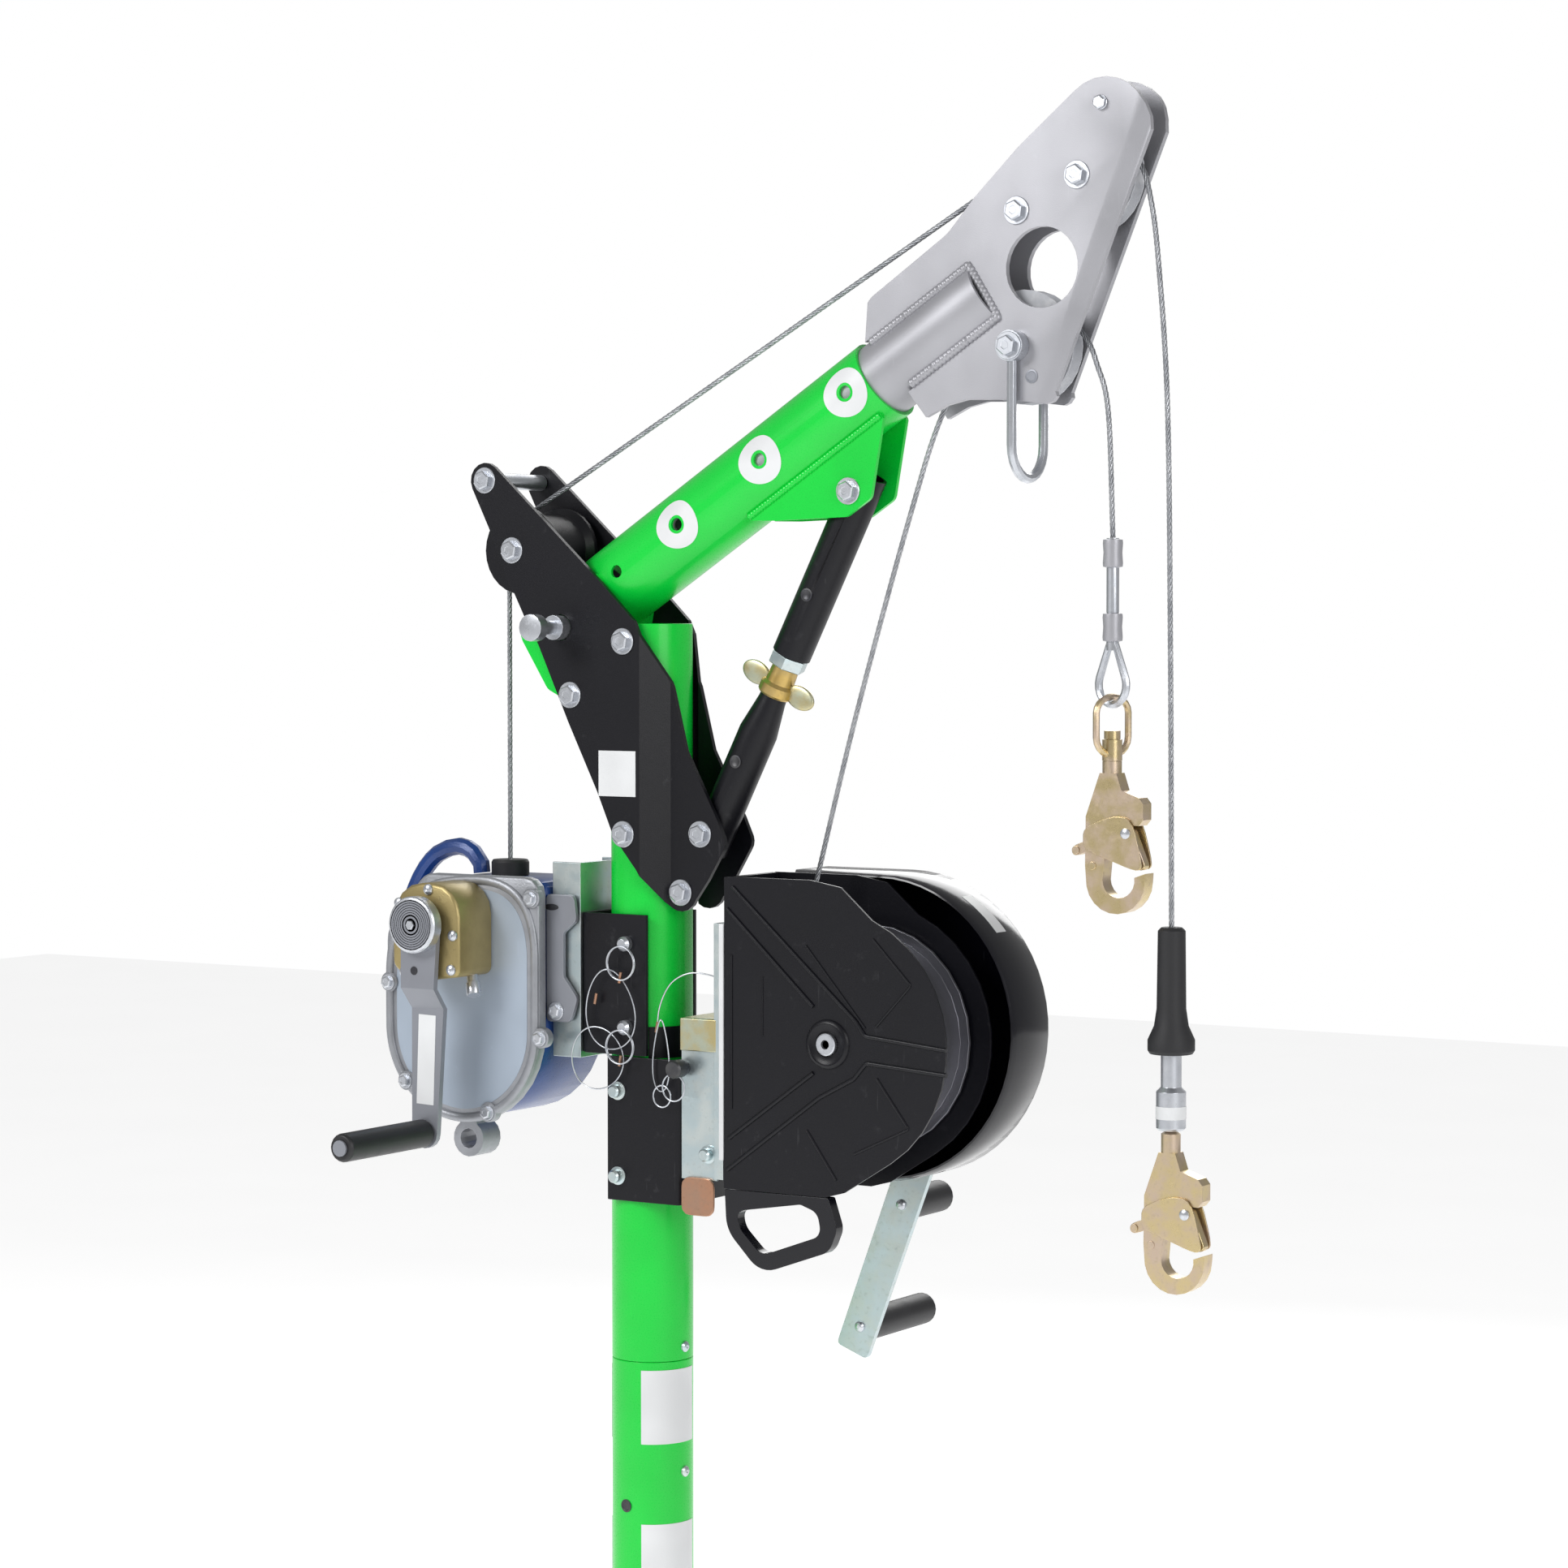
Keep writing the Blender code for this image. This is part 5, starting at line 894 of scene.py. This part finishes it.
def cable(path, radius, closed=True):
    """A thin round cable along a path, with its ends joined when it is closed."""
    if closed:
        path = np.concatenate([path, path[:1]])
    path = resample(path, 0.0016)
    if closed:
        path = path[:-1]
    tangent = np.roll(path, -1, axis=0) - np.roll(path, 1, axis=0) if closed else np.gradient(path, axis=0)
    tangent /= np.linalg.norm(tangent, axis=1, keepdims=True)
    side = np.cross(np.broadcast_to([0.0, 1.0, 0.0], tangent.shape), tangent)
    side /= np.linalg.norm(side, axis=1, keepdims=True)
    normal = np.cross(tangent, side)
    angle = np.linspace(0, 2 * math.pi, 8, endpoint=False)
    spoke = np.cos(angle)[None, :, None] * side[:, None, :] + np.sin(angle)[None, :, None] * normal[:, None, :]
    return skin(path[:, None, :] + spoke * radius, closed=closed)


def hanging_loop(x, height, half_width, half_height, y, sway=0.002, drop=0.22, turn=0.0):
    """A closed loop that hangs: an ellipse whose lower half is fuller than its upper half."""
    t = np.linspace(0, 2 * math.pi, 72, endpoint=False)
    across = half_width * np.sin(t) * (1 - drop * np.cos(t))
    rise = half_height * np.cos(t)
    x_part = across * math.cos(turn) - rise * math.sin(turn)
    z_part = across * math.sin(turn) + rise * math.cos(turn)
    return in_mast(x, height, y) + np.stack([x_part, sway * np.sin(2 * t), z_part], axis=1)


SLEEVE_FACE = -0.0424
parts = []
for x, z in ((0.000, -0.3125), (-0.001, -0.3900)):
    for layer in (0.0, 0.0015):
        parts.append(cable(hanging_loop(x, z, 0.0150, 0.0155, SLEEVE_FACE - 0.0095 - layer, 0.0, 0.0), 0.0008))
parts.append(cable(hanging_loop(0.062, -0.4230, 0.0120, 0.0125, -0.0580, 0.0, 0.0), 0.0008))
parts.append(cable(hanging_loop(0.044, -0.4330, 0.0095, 0.0100, -0.0500, 0.0, 0.0), 0.0008))
piece("pin_split_rings", parts, STEEL, "mast", 60)
parts = [
    cable(hanging_loop(-0.014, -0.3560, 0.0270, 0.0370, SLEEVE_FACE - 0.0070, 0.0015, 0.25, 0.12), 0.0007),
    cable(hanging_loop(-0.030, -0.4020, 0.0290, 0.0290, SLEEVE_FACE - 0.0050, 0.0015, 0.15, 0.35), 0.0007),
    cable(hanging_loop(0.041, -0.3960, 0.0085, 0.0330, -0.0470, 0.001, 0.55), 0.0007),
]
lead = [(0.036, -0.372, -0.046), (0.040, -0.350, -0.047), (0.052, -0.329, -0.047), (0.070, -0.319, -0.044)]
lead += [(0.090, -0.320, -0.040), (0.103, -0.326, -0.034)]
parts.append(cable(smooth_route([in_mast(x, z, y) for x, z, y in lead]), 0.0007, False))
piece("pin_lanyards", parts, STEEL, "mast", 60)
crimp = [(0.0, -0.005), (0.0015, -0.005), (0.0015, 0.005), (0.0, 0.005)]
crimps = [(-0.002, -0.326, -0.0505), (-0.002, -0.403, -0.0505), (0.036, -0.370, -0.0460), (-0.031, -0.347, -0.0480)]
parts = [lathe(crimp, in_mast(x, z, y), (0.2, 0.0, 1.0), 12) for x, z, y in crimps]
piece("lanyard_crimps", parts, COPPER, "mast", 30)


# ---------------------------------------------------------------- hand winch
# A powder coated frame, a worn drum whose grey is partly painted sheen, and a domed gloss housing. Pressed ribs
# stiffen the near plate and meet round its hub, a screw closes the hub, a blank label sits on the housing, and small
# screws hold the grips.
GLOSS = coated("gloss black", (0.003, 0.003, 0.006), 0.14, coat=0.1, depth=0.00001, scuffs=0.2, mirror=0.4)
# The drum's light metallic grey is partly rubbed steel and partly painted sheen, so its shaded flange shows a light
# band.
DRUM = coated("worn drum with painted sheen", (0.20, 0.20, 0.225), 0.30, metallic=0.8, scuffs=1.0)
dress("winch_frame", BLACK, 0.0012, 28, 3)
dress("winch_mount_sleeve", BLACK, 0.0008)
dress("winch_housing", GLOSS, 0.0012)
dress("winch_loop_handle", GLOSS, 0.0030, 28, 3)
dress("winch_drum", DRUM, 0.0006)
for node in ("winch_bracket", "winch_crank"):
    dress(node, ZINC, 0.0008)
for node in ("winch_grip_mid", "winch_grip_end"):
    dress(node, GRIP, 0.0010)

PLATE = -0.0450
RIBS = (
    ([(0.118, -0.238), (0.248, -0.353), (0.258, -0.366), (0.341, -0.374)], 0.0017),
    ([(0.112, -0.258), (0.204, -0.3425)], 0.0017),
    ([(0.341, -0.396), (0.259, -0.390), (0.246, -0.405), (0.210, -0.424), (0.112, -0.496)], 0.0017),
    ([(0.204, -0.402), (0.114, -0.467)], 0.0017),
    ([(0.196, -0.288), (0.258, -0.359)], 0.0010),
    ([(0.266, -0.279), (0.305, -0.3185), (0.269, -0.357)], 0.0010),
    ([(0.270, -0.403), (0.303, -0.446), (0.247, -0.472)], 0.0010),
    ([(0.197, -0.454), (0.228, -0.497)], 0.0010),
    ([(0.1165, -0.300), (0.1165, -0.440)], 0.0012),
    ([(0.1500, -0.318), (0.1500, -0.372)], 0.0007),
)
parts = []
for route, radius in RIBS:
    parts.append(cable(resample([in_mast(x, z, PLATE) for x, z in route], 0.003), radius * 1.25, False))
hub = in_mast(0.219, -0.3754, PLATE)
collar = [(0.0120, 0.0), (0.0225, 0.0), (0.0215, 0.0022), (0.0190, 0.0030), (0.0180, 0.0018), (0.0120, 0.0014)]
parts.append(lathe(collar + collar[:1], hub, sides=48))
piece("winch_ribs", parts, BLACK, "mast", 50)
dished = [(0.0, -0.002), (0.0100, -0.002), (0.0100, 0.0042), (0.0090, 0.0050), (0.0042, 0.0050), (0.0036, 0.0030)]
dished += [(0.0, 0.0030)]
piece("winch_hub_screw", [lathe(dished, hub, sides=40)], STEEL, "winch_drum", 30)
tub = in_mast(0.221, -0.368)
film = sheet_on(wrapped(tub, (0.0, 1.0, 0.0), 0.1411, -0.86, 0.17, 0.066, 0.083, (1.0, 0.0, 0.0)), 20, 3, 0.0003)
piece("winch_tub_label", [film], LABEL, "mast", 40)
lean = math.radians(20.7)
parts = []
for distance in (0.181, 0.308):
    spot = in_mast(0.260 - distance * math.sin(lean), -0.374 - distance * math.cos(lean), 0.125)
    parts.append(lathe(button, spot, sides=20))
    parts.append(lathe([(0.0, 0.0), (0.0018, 0.0), (0.0018, 0.0034), (0.0, 0.0034)], spot, sides=6))
piece("winch_crank_screws", parts, STEEL, "winch_crank", 30)
strip = [slab(in_mast(0.1030, -0.2720, -0.0455), in_mast(0.1078, -0.4880, -0.0425))]
piece("winch_edge_strip", strip, LABEL, "mast", 28, 0.0006)
parts = [slab(in_mast(0.0605, -0.3600, -0.0455), in_mast(0.1000, -0.3900, -0.0425)),
         slab(in_mast(0.0606, -0.3600, -0.0424), in_mast(0.0999, -0.3626, 0.0380))]
piece("winch_bracket_caps", parts, PASSIVE, "mast", 28, 0.0013)
tab = np.array([(0.0620, -0.5060), (0.0970, -0.5060), (0.0970, -0.5410), (0.0620, -0.5410)]) + [0.0, MAST_TOP]
piece("winch_bracket_tab", [panel(rounded(tab, 0.85, 3), -0.0425, 0.0030)], COPPER, "mast", 28, 0.0008)
stud = [(0.0, -0.002), (0.0085, -0.002), (0.0085, 0.0012), (0.0060, 0.0016), (0.0060, 0.0080), (0.0045, 0.0100)]
stud += [(0.0, 0.0100)]
parts = [lathe(stud, in_mast(x, z, y), sides=24)
         for x, z, y in ((-0.010, -0.432, -0.0424), (-0.010, -0.511, -0.0424), (0.090, -0.484, -0.0422))]
piece("winch_sleeve_studs", parts, ZINC, "mast", 30)
knurl = [(0.0, 0.0), (0.0060, 0.0), (0.0060, 0.006), (0.0085, 0.007), (0.0085, 0.019), (0.0070, 0.021), (0.0, 0.021)]
piece("winch_detent_pin", [lathe(knurl, in_mast(0.064, -0.406, -0.0425), sides=20)], HOLE_SHADE_AND_DARK_STEEL, "mast",
      30)


# ---------------------------------------------------------------- hooks and rope ends
# Forged snap hooks, zinc plated yellow. Each gate has two pressed cheeks and a rivet through them, and a lock
# lever at the back. The long rope's swivel has a pale band, the short rope's eye two pressed sleeves.
HOOK = plated("yellow zinc plate", (0.62, 0.50, 0.27), (0.58, 0.46, 0.36), 0.28)
for node, edge in (
    ("hook_a", 0.0040),
    ("hook_b", 0.0040),
    ("hook_a_gate", 0.0022),
    ("hook_b_gate", 0.0022),
    ("hook_b_ring", 0.0004),
):
    dress(node, HOOK, edge, 28, 3)
for node in ("hook_a_swivel", "hook_b_eye"):
    dress(node, STEEL, 0.0003)
dress("hook_a_bumper", RUBBER, 0.0005)
def plate_between(loop, near, far):
    verts, faces = panel(np.asarray(loop, float), near, 0.0)
    verts[len(loop):, 1] = far
    return verts, faces


CHEEK = ((-0.0230, -0.0460), (0.0050, -0.0350), (0.0240, -0.0370), (0.0350, -0.0780), (0.0290, -0.0830),
         (-0.0100, -0.0690), (-0.0230, -0.0640))
LEVER = ((-0.0170, -0.0560), (-0.0330, -0.0610), (-0.0370, -0.0650), (-0.0360, -0.0700), (-0.0310, -0.0710),
         (-0.0170, -0.0650))
GATE_PIN = (0.0185, -0.0500)
rivet = [(0.0, 0.0), (0.0048, 0.0), (0.0046, 0.0012), (0.0030, 0.0022), (0.0, 0.0024)]
for hook in ("hook_a", "hook_b"):
    gate_low, gate_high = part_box(hook + "_gate")
    hinge_x, hinge_z = gate_low.x + 0.0046, gate_high.z - 0.0043
    top = np.array([hinge_x - GATE_PIN[0], 0.0, hinge_z - GATE_PIN[1]])
    cheeks, pins = [], []
    loop = rounded(np.asarray(CHEEK) + [top[0], top[2]], 0.8, 2)
    for side in (-1.0, 1.0):
        cheeks.append(plate_between(loop, side * 0.0086, side * 0.0106))
        pins.append(lathe(rivet, (hinge_x, side * 0.0106, hinge_z), (0.0, side, 0.0), 24))
    piece(hook + "_cheeks", cheeks, HOOK, hook + "_gate", 28, 0.0005)
    piece(hook + "_rivets", pins, STEEL, hook + "_gate", 30)
    levers = [plate_between(rounded(np.asarray(LEVER) + [top[0], top[2]], 0.75, 2), -0.0050, 0.0050)]
    for x, z, half in ((-0.0325, -0.0660, 0.0062), (-0.0150, -0.0790, 0.0088)):
        pin = [(0.0, -half), (0.0036, -half), (0.0036, half), (0.0, half)]
        levers.append(lathe(pin, (top[0] + x, 0.0, top[2] + z), sides=20))
    piece(hook + "_lever", levers, HOOK, hook, 28, 0.0004)

swivel_low, swivel_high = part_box("hook_a_swivel")
spot = ((swivel_low.x + swivel_high.x) / 2, 0.0, swivel_low.z)
band = [(0.0120, 0.0100), (0.0134, 0.0100), (0.0134, 0.0210), (0.0120, 0.0210), (0.0120, 0.0100)]
piece("hook_a_band", [lathe(band, spot, UP, 36)], LABEL, "rope_a", 30)
eye_x, eye_top = lower_axle.x + 0.0840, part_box("hook_b_eye")[1].z
press = [(0.0056, 0.0), (0.0085, -0.0008), (0.0088, -0.0040), (0.0082, -0.0120), (0.0088, -0.0210), (0.0085, -0.0242)]
press += [(0.0056, -0.0250), (0.0056, 0.0)]
parts = [lathe(press, (eye_x, 0.0, eye_top - 0.0005 - drop), UP, 32) for drop in (0.0, 0.064)]
piece("hook_b_ferrule_made", parts, SILVER, "rope_b", 30)

for name, end_piece, length in (("rope_a", "hook_a_bumper_made", 0.731), ("rope_b", "hook_b_ferrule_made", 0.208)):
    rope, path = hanging[name]
